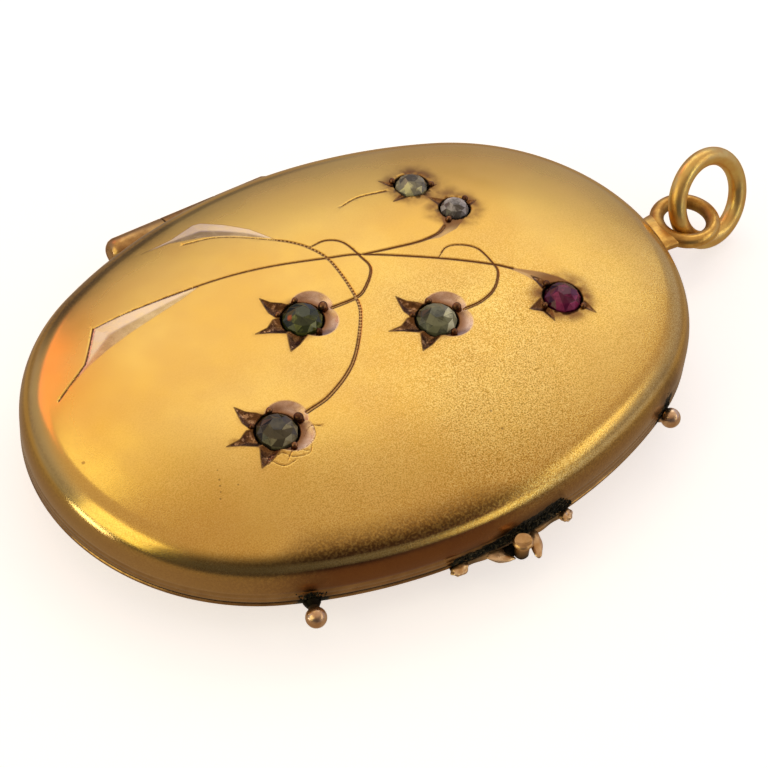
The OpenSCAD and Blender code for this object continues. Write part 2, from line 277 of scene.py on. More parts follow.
# Little dark thorns that the graver left behind the beads
nicks = [
    [(6.35, 8.1), (6.75, 7.65), (7.35, 7.75), (7.0, 7.1), (6.6, 7.35)],
    [(6.0, 6.25), (6.75, 6.6), (7.3, 6.2), (6.9, 6.15)],
    [(8.75, 6.25), (8.35, 6.5), (8.1, 6.15)],
    [(7.75, 5.6), (8.35, 5.0), (7.85, 4.7)],
    [(9.75, 4.1), (9.1, 4.45), (9.05, 3.85)],
    [(8.9, -1.9), (9.5, -2.75), (8.85, -3.05)],
    [(7.45, -3.75), (8.4, -3.4), (8.45, -4.3), (8.1, -5.0), (7.95, -4.2)],
    [(10.35, -5.5), (10.3, -4.6), (9.85, -4.85)],
]

# Marks of use: single pits, and a short row of them
pits = [((1.9, -8.1), 0.09), ((1.8, -9.2), 0.1), ((-16.3, -0.3), 0.12), ((-11.4, -4.4), 0.05),
        ((-11.6, -4.9), 0.07), ((-11.75, -5.2), 0.07), ((-11.9, -5.5), 0.06), ((-12.1, -5.8), 0.07),
        ((-11.0, -5.6), 0.06)]
far_off = 9.0  # stands for the distance where there is no cut near


def stone_frame(name):
    """The middle of a stone's seat on the dome, and the way out of the metal there."""
    (x, y), _, _ = stones[name]
    z = dome_height(np.array([x]), np.array([y]))[0]
    inset, out_x, out_y = (float(v[0]) for v in inset_of(np.array([x]), np.array([y])))
    lean = math.asin(max(dome_in - inset, 0) / dome_r)
    return Vector((x, y, z)), Vector((out_x * math.sin(lean), out_y * math.sin(lean), math.cos(lean)))


def petals_round(name):
    """Outlines of the thorn petals round a star's stone."""
    turn_by = math.radians(petal_turns[name])
    c, s = math.cos(turn_by), math.sin(turn_by)
    return [np.array(p) @ np.array([[c, s], [-s, c]]) + np.array(stones[name][0]) for p in petals]


def cuts_at(points):
    """What the graver left at points of the front: distances that the shape and the finish read."""
    far = np.full(len(points), far_off)
    stem, along = -far, far.copy()
    for k, (line, (_, w_start, w_end)) in enumerate(zip(stem_lines, stems)):
        box = (points > line.min(0) - 1).all(1) & (points < line.max(0) + 1).all(1)
        away, gone = from_path(points[box], line)
        width = w_start + (w_end - w_start) * gone / np.hypot(*np.diff(line, axis=0).T).sum()
        deeper = np.zeros(len(points), bool)
        deeper[box] = width - away > stem[box]
        stem[deeper] = (width - away)[deeper[box]]
        along[deeper] = gone[deeper[box]] if k == beaded_stem else far_off
    petal, scoop = -far, -far
    for name in stars:
        near = np.hypot(*(points - np.array(stones[name][0])).T) < petals_reach
        for outline in petals_round(name):
            petal[near] = np.maximum(petal[near], within(points[near], outline))
        for (x, y), r in lobes:
            middle = np.array(stones[name][0]) + (x, y)
            scoop[near] = np.maximum(scoop[near], r - np.hypot(*(points[near] - middle).T))
    leaf, flare, facet = -far, -far, np.zeros(len(points))
    for k, (far_side, near_side) in enumerate(bright_cuts):
        into = within(points, np.array(far_side + near_side))
        if k > 1:
            flare = np.maximum(flare, into)
        from_far, _ = from_path(points, np.array(far_side))
        from_near, _ = from_path(points, np.array([far_side[-1]] + near_side + [far_side[0]]))
        facet[into > leaf] = np.clip(0.5 + (from_near - 0.8 * from_far) * 5, 0, 1)[into > leaf]
        leaf = np.maximum(leaf, into)
    for nick in nicks:
        petal = np.maximum(petal, within(points, np.array(nick)))
    seat = far.copy()
    for (x, y), w, _ in stones.values():
        seat = np.minimum(seat, np.hypot(points[:, 0] - x, points[:, 1] - y) - w / 2)
    return {"stem": stem, "along": along, "petal": petal, "scoop": scoop, "leaf": leaf,
            "flare": flare, "facet": facet, "seat": seat}


def cut_depth(points, cuts):
    """How deep the cuts go: fine grooves, sloping scoops, flat leaves and sharp petals."""
    groove = 0.6 * np.clip(cuts["stem"] + 0.03, 0, 0.08)
    scoop = 0.11 * np.sin(np.clip(cuts["scoop"] / 0.6, 0, 1) * math.pi / 2)
    leaf = np.clip(0.05 * cuts["leaf"], 0, 0.05)
    petal = np.clip(0.5 * cuts["petal"], 0, 0.15)
    return np.max([groove, scoop, leaf, petal], axis=0)


def front_height(points):
    """The front's outer surface, with the cuts and the stones' seats sunk into it."""
    cuts = cuts_at(points)
    height = dome_height(points[:, 0], points[:, 1]) - cut_depth(points, cuts)
    for name, ((x, y), w, _) in stones.items():
        middle, out = stone_frame(name)
        floor_at = middle - out * seat_depth
        leaning = out.x * (points[:, 0] - floor_at.x) + out.y * (points[:, 1] - floor_at.y)
        floor = floor_at.z - leaning / out.z
        beyond = np.hypot(points[:, 0] - x, points[:, 1] - y) - w / 2 - seat_edge
        rim = np.clip(beyond / (seat_lip - seat_edge), 0, 1)
        height = np.minimum(height, floor + (height - floor) * rim)
    return height


def mesh_points():
    """Points for the dome's mesh: close together round the cuts, and far apart on the plain metal."""
    def lattice(step):
        row_step = step * 0.866  # the height of an even triangle
        x, y = np.meshgrid(np.arange(-half_l, half_l, step), np.arange(-half_w, half_w, row_step))
        x = x + (np.arange(len(x)) % 2)[:, None] * step / 2
        return np.c_[x.ravel(), y.ravel()]

    rows = []
    for line, (_, w_start, w_end) in zip(stem_lines, stems):
        way = np.gradient(line, axis=0)
        side = np.c_[-way[:, 1], way[:, 0]] / np.hypot(*way.T)[:, None]
        width = np.linspace(w_start, w_end, len(line))[:, None]
        rows += [line + side * share * (width + gap)
                 for share in (-1, 1) for gap in (0.0, 0.035, 0.09)] + [line]
    outlines = [outline for name in stars for outline in petals_round(name)]
    outlines += [np.array(far_side + near_side) for far_side, near_side in bright_cuts]
    for outline in outlines + [np.array(nick) for nick in nicks]:
        closed = np.vstack([outline, outline[:1]])
        for a, b in zip(closed, closed[1:]):
            count = int(np.hypot(*(b - a)) / 0.05) + 1
            rows.append(a + (b - a) * np.linspace(0, 1, count, endpoint=False)[:, None])
    for name in stars:
        for (x, y), r in lobes:
            around = np.linspace(0, 2 * math.pi, 130, endpoint=False)
            rows.append(np.array(stones[name][0]) + (x, y) + r * np.c_[np.cos(around), np.sin(around)])
    for (x, y), w, _ in stones.values():
        for r in (w / 2 + seat_edge, w / 2 + seat_lip):
            around = np.linspace(0, 2 * math.pi, 72, endpoint=False)
            rows.append(np.c_[x + r * np.cos(around), y + r * np.sin(around)])
    rows += [ring_at(inset) for inset in (1.6, 1.85, 2.2, 2.7)]
    layers = [np.vstack(rows)]
    for step, reach in ((0.075, 0.0), (0.16, 0.3), (0.42, 99)):
        grid = lattice(step)
        cuts = cuts_at(grid)
        near = (cuts["stem"] > -reach) | (cuts["seat"] < 0.15 + reach)
        for kind in ("petal", "scoop", "leaf"):
            near |= cuts[kind] > -0.1 - reach
        layers.append(grid[near])
    # each layer keeps clear of the earlier ones: of their cells, or also of the cells next to those
    kept = np.empty((0, 2))
    own, nearby = (0,), (-1, 0, 1)
    for layer, room, cells in zip(layers, (0.02, 0.05, 0.11, 0.3), (own, own, nearby, nearby)):
        layer = layer[inset_of(layer[:, 0], layer[:, 1])[0] > dome_start + 0.08]
        taken = {(a + i, b + j) for a, b in np.floor(kept / room).astype(int) for i in cells for j in cells}
        free = [tuple(cell) not in taken for cell in np.floor(layer / room).astype(int)]
        layer = layer[np.array(free, bool)]
        _, first = np.unique(np.round(layer / room).astype(int), axis=0, return_index=True)
        kept = np.vstack([kept, layer[np.sort(first)]])
    return kept


def make_piece(name, corners, faces, smooth_below=35):
    """A mesh piece from corners in millimetres over the seam, merged, with its faces outwards."""
    mesh = bpy.data.meshes.new(name)
    mesh.from_pydata([(x * mm, y * mm, (z + back_depth) * mm) for x, y, z in corners], [], faces)
    work = bmesh.new()
    work.from_mesh(mesh)
    bmesh.ops.remove_doubles(work, verts=work.verts, dist=0.002 * mm)
    bmesh.ops.recalc_face_normals(work, faces=work.faces)
    work.to_mesh(mesh)
    work.free()
    mesh.shade_smooth()
    if smooth_below:
        mesh.set_sharp_from_angle(angle=math.radians(smooth_below))
    return in_scene(name, mesh)


def clear_of_barrel(corners, spans):
    """Presses the metal back to the hollow that the barrel turns in, over those spans of X."""
    dy, dz = corners[:, 1] - hinge_y, corners[:, 2] - hinge_z
    away = np.hypot(dy, dz)
    for start, stop in spans:
        near = (corners[:, 0] > start) & (corners[:, 0] < stop) & (away < barrel_room)
        corners[near, 1] = hinge_y + dy[near] / away[near] * barrel_room
        corners[near, 2] = hinge_z + dz[near] / away[near] * barrel_room
    return corners


roll_turns = np.linspace(0, math.acos((front_roll_r - dome_start) / front_roll_r), 17)
front_outside = [(wall, seam_half), (0.06, seam_half), (0.0, 0.08), (0.0, 0.2), (0.0, 0.29), (0.02, 0.32),
                 (0.0, 0.35), (0.0, 0.5), (0.0, 0.62), (0.015, 0.65), (0.0, 0.68), (0.0, 0.85)]
front_outside += [(front_roll_r - front_roll_r * math.cos(a), front_edge_h + front_roll_r * math.sin(a))
                  for a in roll_turns]
inner_r = front_roll_r - wall
front_inside = [(wall, seam_half), (wall, 0.5), (wall, front_edge_h)]
front_inside += [(front_roll_r - inner_r * math.cos(a), front_edge_h + inner_r * math.sin(a))
                 for a in np.linspace(0.12, roll_turns[-1], 10)]
for inset in (2.4, 3.2, 4.2, 5.4, 6.6, 7.7, dome_in):
    front_inside.append((inset, dome_z + math.sqrt((dome_r - wall) ** 2 - (dome_in - inset) ** 2)))

shoulder, shoulder_faces = sweep(front_outside)
lining, lining_faces = sweep(front_inside, closed_by_flat=True)
edge_ring = ring_at(dome_start)
loose = mesh_points()
flat_points = [Vector(p) for p in np.vstack([edge_ring, loose])]
loop = [(k, (k + 1) % len(edge_ring)) for k in range(len(edge_ring))]
dome_flat, _, dome_faces, _, _, _ = delaunay_2d_cdt(flat_points, loop, [], 1, 1e-6, False)
dome_flat = np.array([tuple(p) for p in dome_flat])
dome_corners = np.c_[dome_flat, front_height(dome_flat)]
on_edge = inset_of(dome_flat[:, 0], dome_flat[:, 1])[0] < dome_start + 0.01
dome_corners[on_edge, 2] = front_outside[-1][1]

corners = np.vstack([shoulder, lining, dome_corners])
faces = list(shoulder_faces)
faces += [tuple(i + len(shoulder) for i in f) for f in lining_faces]
faces += [tuple(i + len(shoulder) + len(lining) for i in f) for f in dome_faces]
corners = clear_of_barrel(corners, [
    (barrel_x - 1.5 * knuckle_l - 2 * knuckle_gap, barrel_x - 0.5 * knuckle_l + knuckle_gap),
    (barrel_x + 0.5 * knuckle_l - knuckle_gap, barrel_x + 1.5 * knuckle_l + 2 * knuckle_gap)])
front_cover_dressed = make_piece("front_cover_engraved", corners, faces, smooth_below=28)


def store(piece, values):
    """Keeps one number for each corner of a piece under a name that its finish reads."""
    for name, numbers in values.items():
        kept = piece.data.attributes.new(name, "FLOAT", "POINT")
        kept.data.foreach_set("value", numbers.astype(np.float32))


def corners_of(piece):
    """A piece's corners, back in millimetres over the seam."""
    co = np.zeros(len(piece.data.vertices) * 3)
    piece.data.vertices.foreach_get("co", co)
    return co.reshape(-1, 3) / mm - (0, 0, back_depth)


at = corners_of(front_cover_dressed)
inset_there, out_x, out_y = inset_of(at[:, 0], at[:, 1])
cuts = cuts_at(at[:, :2])
outside = (at[:, 2] > dome_height(at[:, 0], at[:, 1]) - 0.36) | (inset_there < 0.3)
for name in ("stem", "petal", "scoop", "leaf", "flare"):
    cuts[name] = np.where(outside, np.maximum(cuts[name], -1.0), -1.0)
for name in ("seat", "along", "facet"):
    cuts[name] = np.where(outside, cuts[name], far_off)
# away from the cuts the dome is shaded by its true curve, not by its triangles
lean = np.arcsin(np.clip((dome_in - inset_there) / dome_r, 0, 1))
plain = outside & (inset_there > dome_start + 0.02) & (cuts["seat"] > 0.45)
for name in ("stem", "petal", "scoop", "leaf"):
    plain &= cuts[name] < -0.3
true_way = np.c_[out_x * np.sin(lean), out_y * np.sin(lean), np.cos(lean)] * plain[:, None]
front_cover_dressed.data.normals_split_custom_set_from_vertices(true_way.tolist())
# dirt packed above the catch and round the studs' feet: how far below its ragged top
ragged_top = np.interp(at[:, 0], (-3.7, -3.3, -1.0, 0.5, 3.0, 3.8), (-0.5, 0.4, 0.55, 1.0, 1.15, -0.5))
packed = ragged_top - at[:, 2]
packed = np.where((at[:, 1] < -9) & (inset_there < 1), packed, -1.0)
for x, y, z, size in ((11.6, -10.25, 0.6, 0.22), (-10.3, -11.05, 0.1, 0.12)):
    packed = np.maximum(packed, size - 0.45 * np.linalg.norm((at - (x, y, z)) * (1, 1, 0.8), axis=1))
# brown tarnish and painted shade round the rim: a map, darkest on the catch side to the left of the catch,
# that is partly real tarnish and partly painted dark reflection
catch_shade = np.interp(at[:, 0], (-16, -13, -9, -2, 1, 8, 16), (0.25, 0.45, 1.0, 1.0, 0.7, 0.55, 0.3))
hinge_shade = np.interp(at[:, 0], (-16, -12, -5, -1, 4), (0.4, 0.85, 0.85, 0.4, 0.3))
shade = hinge_shade + (catch_shade - hinge_shade) * np.clip(0.5 - at[:, 1] / 6, 0, 1)
# the satin's grain is strongest on the catch side of the middle, and worn off at both ends
satin = np.clip(0.5 - at[:, 1] * 0.12 + at[:, 0] * 0.01 - np.maximum(at[:, 0] - 10, 0) * 0.06, 0.06, 1)
satin *= np.interp(at[:, 0] - 0.3 * at[:, 1], (-9, -3, 1, 7, 11), (0.4, 0.55, 1.0, 1.0, 0.5))
# darker brown round the stones, wider round the small ones
darker_round_stones = np.zeros(len(at))
for name, ((x, y), w, _) in stones.items():
    reach, strength = (0.6, 0.65) if name in stars else (1.0, 1.0)
    beyond = np.hypot(at[:, 0] - x, at[:, 1] - y) - w / 2
    darker_round_stones = np.maximum(darker_round_stones, strength * np.clip(1 - beyond / reach, 0, 1))
store(front_cover_dressed, cuts)
store(front_cover_dressed, {
    "inset": inset_there, "height": at[:, 2], "satin": satin, "darker_round_stones": darker_round_stones * outside,
    "grime": np.clip(packed, -1, 1), "shade": shade * outside,
})


class Finish:
    """A material under construction: short calls that add nodes and join them."""

    def __init__(self, name):
        self.material = bpy.data.materials.new(name)
        self.material.use_nodes = True
        self.tree = self.material.node_tree
        self.shader = self.tree.nodes["Principled BSDF"]
        self.coords = self.add("ShaderNodeTexCoord").outputs["Object"]

    def add(self, kind, values=(), **settings):
        made = self.tree.nodes.new(kind)
        for key, value in settings.items():
            setattr(made, key, value)
        for key, value in dict(values).items():
            self.set(made.inputs[key], value)
        return made

    def set(self, socket, value):
        """Joins a socket to another one, or gives it a plain value."""
        if isinstance(value, bpy.types.NodeSocket):
            self.tree.links.new(value, socket)
        else:
            socket.default_value = value

    def attribute(self, name):
        return self.add("ShaderNodeAttribute", attribute_name=name).outputs["Fac"]

    def noise(self, scale, detail=2.0, roughness=0.5, coords=None):
        return self.add("ShaderNodeTexNoise", {
            "Vector": self.coords if coords is None else coords,
            "Scale": scale, "Detail": detail, "Roughness": roughness}).outputs["Fac"]

    def step(self, value, start, stop, low=0.0, high=1.0):
        """A smooth rise from low to high as value goes from start to stop."""
        return self.add("ShaderNodeMapRange", {"Value": value, "From Min": start, "From Max": stop,
                                               "To Min": low, "To Max": high},
                        interpolation_type="SMOOTHSTEP").outputs["Result"]

    def maths(self, operation, a, b=0.0):
        return self.add("ShaderNodeMath", {0: a, 1: b}, operation=operation).outputs[0]

    def times(self, a, b):
        return self.maths("MULTIPLY", a, b)

    def distance(self, place):
        """From a place on the object, both in the mesh's own metres."""
        return self.add("ShaderNodeVectorMath", {0: self.coords, 1: tuple(place)},
                        operation="DISTANCE").outputs["Value"]

    def stretched_noise(self, scale, detail, stretch, turned=0.0):
        """A noise drawn out along one way, as brushing and drawing leave it."""
        drawn = self.add("ShaderNodeMapping", {"Vector": self.coords, "Scale": stretch,
                                               "Rotation": (0, 0, turned)})
        return self.noise(scale, detail, coords=drawn.outputs["Vector"])

    def mix(self, share, a, b):
        """Between two colours."""
        made = self.add("ShaderNodeMix", data_type="RGBA")
        self.set(made.inputs["Factor"], share)
        for socket, value in zip([s for s in made.inputs if s.type == "RGBA"], (a, b)):
            self.set(socket, (*value, 1) if isinstance(value, tuple) else value)
        return [s for s in made.outputs if s.type == "RGBA"][0]

    def between(self, share, a, b):
        """Between two numbers."""
        made = self.add("ShaderNodeMix", data_type="FLOAT")
        for socket, value in zip([s for s in made.inputs if s.type == "VALUE"][:3], (share, a, b)):
            self.set(socket, value)
        return [s for s in made.outputs if s.type == "VALUE"][0]

    def bump(self, height, strength, distance, normal=None):
        made = self.add("ShaderNodeBump", {"Height": height, "Strength": strength, "Distance": distance})
        if normal is not None:
            self.set(made.inputs["Normal"], normal)
        return made.outputs["Normal"]

    def finish(self, **sockets):
        for key, value in sockets.items():
            self.set(self.shader.inputs[key.replace("_", " ")], value)
        return self.material


yellow_gold, deep_gold = (0.86, 0.57, 0.14), (0.80, 0.49, 0.105)

f = Finish("front_satin_gold")
inset_in, height_in, shade_in = f.attribute("inset"), f.attribute("height"), f.attribute("shade")
stem_in, petal_in, scoop_in = f.attribute("stem"), f.attribute("petal"), f.attribute("scoop")
leaf_in, facet_in, seat_in = f.attribute("leaf"), f.attribute("facet"), f.attribute("seat")
satin_in, grime_in, ticks_in = f.attribute("satin"), f.attribute("grime"), f.attribute("along")
cloud = f.step(f.noise(420, 4, 0.6), 0.3, 0.7)
bloom = f.step(inset_in, 0.9, 3.4)
grain = f.noise(15500, 1.0, 0.5)

# the satin: a fine bright and dark grain over slow changes of tone
colour = f.mix(f.step(f.noise(150, 3), 0.35, 0.65), deep_gold, yellow_gold)
colour = f.mix(f.times(cloud, 0.2), colour, (0.80, 0.50, 0.18))
grained = f.times(satin_in, f.step(f.noise(110, 2), 0.35, 0.6, 0.5, 1.0))
colour = f.mix(f.times(f.step(grain, 0.49, 0.36), f.times(grained, 0.8)), colour, (0.44, 0.24, 0.035))
colour = f.mix(f.times(f.step(grain, 0.52, 0.64), f.times(grained, 0.9)), colour, (1.0, 0.78, 0.29))

# brown tarnish and painted dark reflection round the rim, following the shade map, over a duller, mottled
# band on the upright edge
tarnish_and_shade_reach = f.between(f.step(shade_in, 0.6, 0.95), 0.9, 2.3)
speckled = f.step(f.noise(7500, 1.5), 0.36, 0.60, 0.62, 1.0)
tarnish_and_painted_shade = f.times(f.step(inset_in, tarnish_and_shade_reach, 0.35), f.times(shade_in, speckled))
colour = f.mix(f.times(tarnish_and_painted_shade, 0.93), colour, (0.11, 0.036, 0.012))
# a red-brown strip low on the wall where the shade map is high: painted dark reflection
strip = f.times(f.step(inset_in, 0.75, 0.2), f.step(shade_in, 0.55, 1.0))
strip_painted_reflection_colour = f.mix(f.noise(900, 3), (0.16, 0.05, 0.02), (0.30, 0.12, 0.035))
colour = f.mix(f.times(strip, 0.9), colour, strip_painted_reflection_colour)
# the outermost edge darkens with the shade map: partly tarnish, partly painted shade
outermost_tarnish_and_shade_colour = f.mix(shade_in, (0.62, 0.40, 0.20), (0.28, 0.12, 0.04))
colour = f.mix(f.step(inset_in, 0.3, 0.02, 0.0, 0.6), colour, outermost_tarnish_and_shade_colour)
upright_colour = f.mix(f.noise(1500, 3), (0.30, 0.16, 0.06), (0.62, 0.40, 0.17))
colour = f.mix(f.step(height_in, 0.70, 0.63, 0.0, 0.7), colour, upright_colour)
near_catch = f.times(f.step(grime_in, -0.75, 0.15), f.step(f.noise(1400, 3), 0.3, 0.6, 0.45, 1.0))
colour = f.mix(f.times(near_catch, 0.85), colour, (0.12, 0.06, 0.02))
in_seam = f.step(height_in, 0.15, 0.05)
colour = f.mix(in_seam, colour, (0.03, 0.018, 0.01))

# cuts: bright leaves whose two faces get painted reflections, rose hollows in the round petals with a painted
# highlight on their rim and painted shade toward the stone, brown creased thorns with painted shadow next to
# the stone, and brown stems with a painted glint down the middle of the wider ones
scoop = f.step(scoop_in, 0.0, 0.05)
leaf = f.step(leaf_in, 0.0, 0.04)
petal = f.step(petal_in, -0.01, 0.03)
worn_in = f.noise(1700, 4, 0.7)
# each bright cut's two faces get their own colour: painted reflections, the far face paler than the near one;
# the flares also darken toward the stone's seat
leaf_facet_reflections = f.mix(facet_in, (0.64, 0.44, 0.19), (0.76, 0.57, 0.38))
leaf_facet_reflections = f.mix(f.step(worn_in, 0.42, 0.62, 0.0, 0.5), leaf_facet_reflections, (0.84, 0.62, 0.30))
flare_facet_reflections = f.mix(facet_in, (0.52, 0.33, 0.14), (0.34, 0.19, 0.08))
flare_facet_reflections = f.mix(f.step(seat_in, 1.3, 0.2), flare_facet_reflections, (0.12, 0.06, 0.03))
colour = f.mix(leaf, colour, f.mix(f.step(f.attribute("flare"), -0.01, 0.01), leaf_facet_reflections, flare_facet_reflections))
leaf_rim = f.times(f.step(f.maths("ABSOLUTE", leaf_in), 0.03, 0.006), f.between(facet_in, 0.1, 0.6))
colour = f.mix(leaf_rim, colour, (0.26, 0.12, 0.05))
# hollow: toward each stone's seat, where the round petals darken with painted shade and the thorns take
# painted shadow
hollow = f.step(seat_in, 0.85, 0.1)
scooped = f.mix(f.step(worn_in, 0.35, 0.65), (0.60, 0.38, 0.24), (0.80, 0.58, 0.42))
colour = f.mix(scoop, colour, f.mix(hollow, scooped, (0.20, 0.09, 0.05)))
# a pale line round each round petal's rim: a painted highlight
scoop_rim_highlight = f.step(f.maths("ABSOLUTE", scoop_in), 0.05, 0.01, 0.0, 0.5)
colour = f.mix(scoop_rim_highlight, colour, (0.75, 0.5, 0.28))
crease = f.noise(3600, 3, 0.7)
petal_colour = f.mix(f.step(crease, 0.50, 0.66), (0.085, 0.036, 0.02), (0.62, 0.38, 0.21))
# near-black patches in the thorns next to the stone: painted shadow
petal_painted_shadow = f.times(f.step(f.noise(1300, 2), 0.42, 0.55), hollow)
petal_colour = f.mix(petal_painted_shadow, petal_colour, (0.03, 0.014, 0.008))
colour = f.mix(petal, colour, petal_colour)
petal_rim = f.step(f.maths("ABSOLUTE", petal_in), 0.06, 0.02, 0.0, 0.8)
colour = f.mix(petal_rim, colour, (0.05, 0.02, 0.012))
halo = f.times(f.step(petal_in, -0.3, 0.0), f.step(f.noise(2200, 3), 0.35, 0.6, 0.0, 0.3))
colour = f.mix(halo, colour, (0.34, 0.17, 0.05))
line = f.step(stem_in, -0.012, 0.012)
# the wider stems are lighter down their middle: a painted glint
stem_colour_with_glint = f.mix(f.step(stem_in, 0.045, 0.085), (0.15, 0.06, 0.02), (0.44, 0.25, 0.08))
hatch = f.maths("SINE", f.times(ticks_in, 30.0))
ticks = f.times(f.step(hatch, -0.1, 0.7), f.step(ticks_in, 8.9, 8.5, 0.15, 0.9))
colour = f.mix(line, colour, f.mix(ticks, stem_colour_with_glint, (0.62, 0.38, 0.13)))
seat_dark = f.step(seat_in, 0.17, 0.07)
darker_round_stones_share = f.times(f.step(f.attribute("darker_round_stones"), 0.0, 0.7), f.step(f.noise(1500, 3), 0.3, 0.65, 0.4, 0.95))
colour = f.mix(darker_round_stones_share, colour, (0.22, 0.10, 0.035))
colour = f.mix(seat_dark, colour, (0.014, 0.009, 0.006))

# small pits and knocks
for (x, y), r in pits:
    z = float(dome_height(np.array([x]), np.array([y]))[0]) + back_depth
    gap = f.distance(v * mm for v in (x, y, z))
    colour = f.mix(f.step(gap, r * mm, 0.5 * r * mm, 0.0, 0.6), colour, (0.25, 0.12, 0.04))

# the dirt over the catch and at the studs' feet, with a ragged edge
grime = f.step(f.maths("ADD", grime_in, f.times(f.noise(2300, 4, 0.7), 0.55)), 0.24, 0.34)
dirt_tone = f.step(f.noise(5200, 3, 0.7), 0.38, 0.7)
colour = f.mix(grime, colour, f.mix(dirt_tone, (0.004, 0.005, 0.004), (0.05, 0.04, 0.02)))

polish = f.maths("MAXIMUM", f.maths("MAXIMUM", scoop, petal), leaf)
roughness = f.between(bloom, f.between(satin_in, 0.18, 0.27), 0.31)
roughness = f.between(polish, roughness, 0.24)
roughness = f.between(near_catch, roughness, 0.42)
roughness = f.between(f.maths("MAXIMUM", seat_dark, grime), roughness, 0.6)
roughness = f.maths("ADD", roughness, f.times(f.maths("SUBTRACT", cloud, 0.5), 0.05))
flatter = f.step(inset_in, 1.2, 4.0, 0.45, 1.0)
grain_depth = f.times(f.times(grained, flatter), f.between(polish, 0.6, 0.1))
fine = f.bump(grain, grain_depth, 0.00002)
creased = f.bump(crease, f.times(petal, 0.8), 0.00008, fine)
caked = f.bump(f.noise(3000, 4, 0.7), grime, 0.0004, creased)
worn = f.bump(f.noise(650, 3, 0.55), 0.05, 0.0001, caked)
metallic = f.between(grime, 1.0, 0.6)
front_cover_dressed.data.materials.append(
    f.finish(Base_Color=colour, Roughness=roughness, Normal=worn, Metallic=metallic))
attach(front_cover_dressed, "case_front")
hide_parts("front_cover")


# The stones
# Rose-cut stones of about two millimetres: a flat back, a narrow girdle and a low dome of
# triangular facets round a small table, each set in its own seat.
# Each stone's slot, its three colours from painted shade to painted light, its turn in the seat, and the way
# its painted light comes from
stone_looks = {
    "star_stone_left": (
        "stone_dark", (0.02, 0.015, 0.009), (0.10, 0.085, 0.045), (0.40, 0.37, 0.21), 12, 280),
    "star_stone_middle": (
        "stone_olive", (0.012, 0.018, 0.007), (0.055, 0.07, 0.022), (0.26, 0.30, 0.08), 40, 265),
    "star_stone_right": (
        "stone_green", (0.05, 0.055, 0.03), (0.25, 0.265, 0.15), (0.92, 0.95, 0.62), 25, 320),
    "bud_stone_upper": ("stone_grey", (0.10, 0.095, 0.07), (0.36, 0.35, 0.26), (1.0, 0.97, 0.5), 5, 240),
    "bud_stone_lower": ("stone_clear", (0.13, 0.115, 0.10), (0.58, 0.57, 0.56), (1.0, 1.0, 1.0), 18, 60),
    "ruby": ("stone_ruby", (0.022, 0.001, 0.01), (0.13, 0.006, 0.05), (0.40, 0.05, 0.16), 33, 270),
}
stone_rise, ruby_rise = 0.5, 0.6
facets = 12
for name, (slot, dark, mid, pale, turned, painted_light_from) in stone_looks.items():
    width = stones[name][1]
    middle, out = stone_frame(name)
    rise = ruby_rise if name == "ruby" else stone_rise
    rings = [(0.5, -seat_depth + 0.01, facets, 0.0), (0.5, -0.04, facets, 0.0),
             (0.39, rise * 0.5, facets, 0.5), (0.2, rise - 0.05, facets // 2, 0.25)]
    corners, rows = [], []
    for share, z, count, shift in rings:
        rows.append(range(len(corners), len(corners) + count))
        for k in range(count):
            a = math.radians(turned) + 2 * math.pi * (k + shift) / count
            corners.append((share * width * math.cos(a), share * width * math.sin(a), z))
    faces = [tuple(reversed(rows[0]))]
    for k in range(facets):
        j = (k + 1) % facets
        faces.append((rows[0][k], rows[0][j], rows[1][j], rows[1][k]))
        faces.append((rows[1][k], rows[1][j], rows[2][k]))
        faces.append((rows[2][k], rows[1][j], rows[2][j]))
    for k in range(facets // 2):
        a, b, c = (rows[2][(2 * k + step) % facets] for step in range(3))
        faces.append((a, b, rows[3][k]))
        faces.append((b, c, rows[3][k]))
        faces.append((c, rows[3][(k + 1) % (facets // 2)], rows[3][k]))
    faces.append(tuple(rows[3]))
    lie = Vector((0, 0, 1)).rotation_difference(out)
    placed = [tuple(middle + lie @ Vector(c)) for c in corners]
    stone = make_piece(name + "_cut", placed, faces, smooth_below=None)
    stone.data.shade_flat()
    # each facet is painted with its own share of light from that way, standing in for the light thrown back
    # inside the stone
    lit = Vector((math.cos(math.radians(painted_light_from)), math.sin(math.radians(painted_light_from)), 0))
    painted_facet_light = [0.42 + 0.5 * face.normal.dot(lit) + 0.22 * math.sin(7.3 * k + turned)
             for k, face in enumerate(stone.data.polygons)]
    stone.data.attributes.new("tone", "FLOAT", "FACE").data.foreach_set("value", painted_facet_light)
    soften = stone.modifiers.new("worn edges", "BEVEL")
    soften.width, soften.segments, soften.limit_method = 0.02 * mm, 2, "ANGLE"
    soften.angle_limit = math.radians(8)
    f = Finish(slot + "_look")
    veil = f.maths("SUBTRACT", f.noise(1300, 4, 0.65), 0.5)
    tone = f.maths("ADD", f.attribute("tone"), f.times(veil, 1.3))
    colour = f.mix(f.step(tone, 0.05, 0.5), dark, mid)
    colour = f.mix(f.step(tone, 0.62, 0.95), colour, pale)
    if name == "star_stone_middle":
        # an orange fleck in one side of this stone
        fleck = middle + lie @ Vector((-0.68, 0.12, 0.3)) + Vector((0, 0, back_depth))
        fleck_edge = f.maths("ADD", f.distance(fleck * mm), f.times(veil, 0.0006))
        colour = f.mix(f.step(fleck_edge, 0.00022, 0.0001, 0.0, 0.85), colour, (0.55, 0.12, 0.02))
    scratch = f.step(f.noise(5000, 3), 0.55, 0.75)
    f.shader.inputs["IOR"].default_value = 1.7
    f.shader.inputs["Transmission Weight"].default_value = 0.15
    f.shader.inputs["Specular IOR Level"].default_value = 0.22
    stone.data.materials.append(f.finish(Base_Color=colour, Roughness=f.between(scratch, 0.07, 0.25)))
    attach(stone, "case_front")
    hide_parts(name)


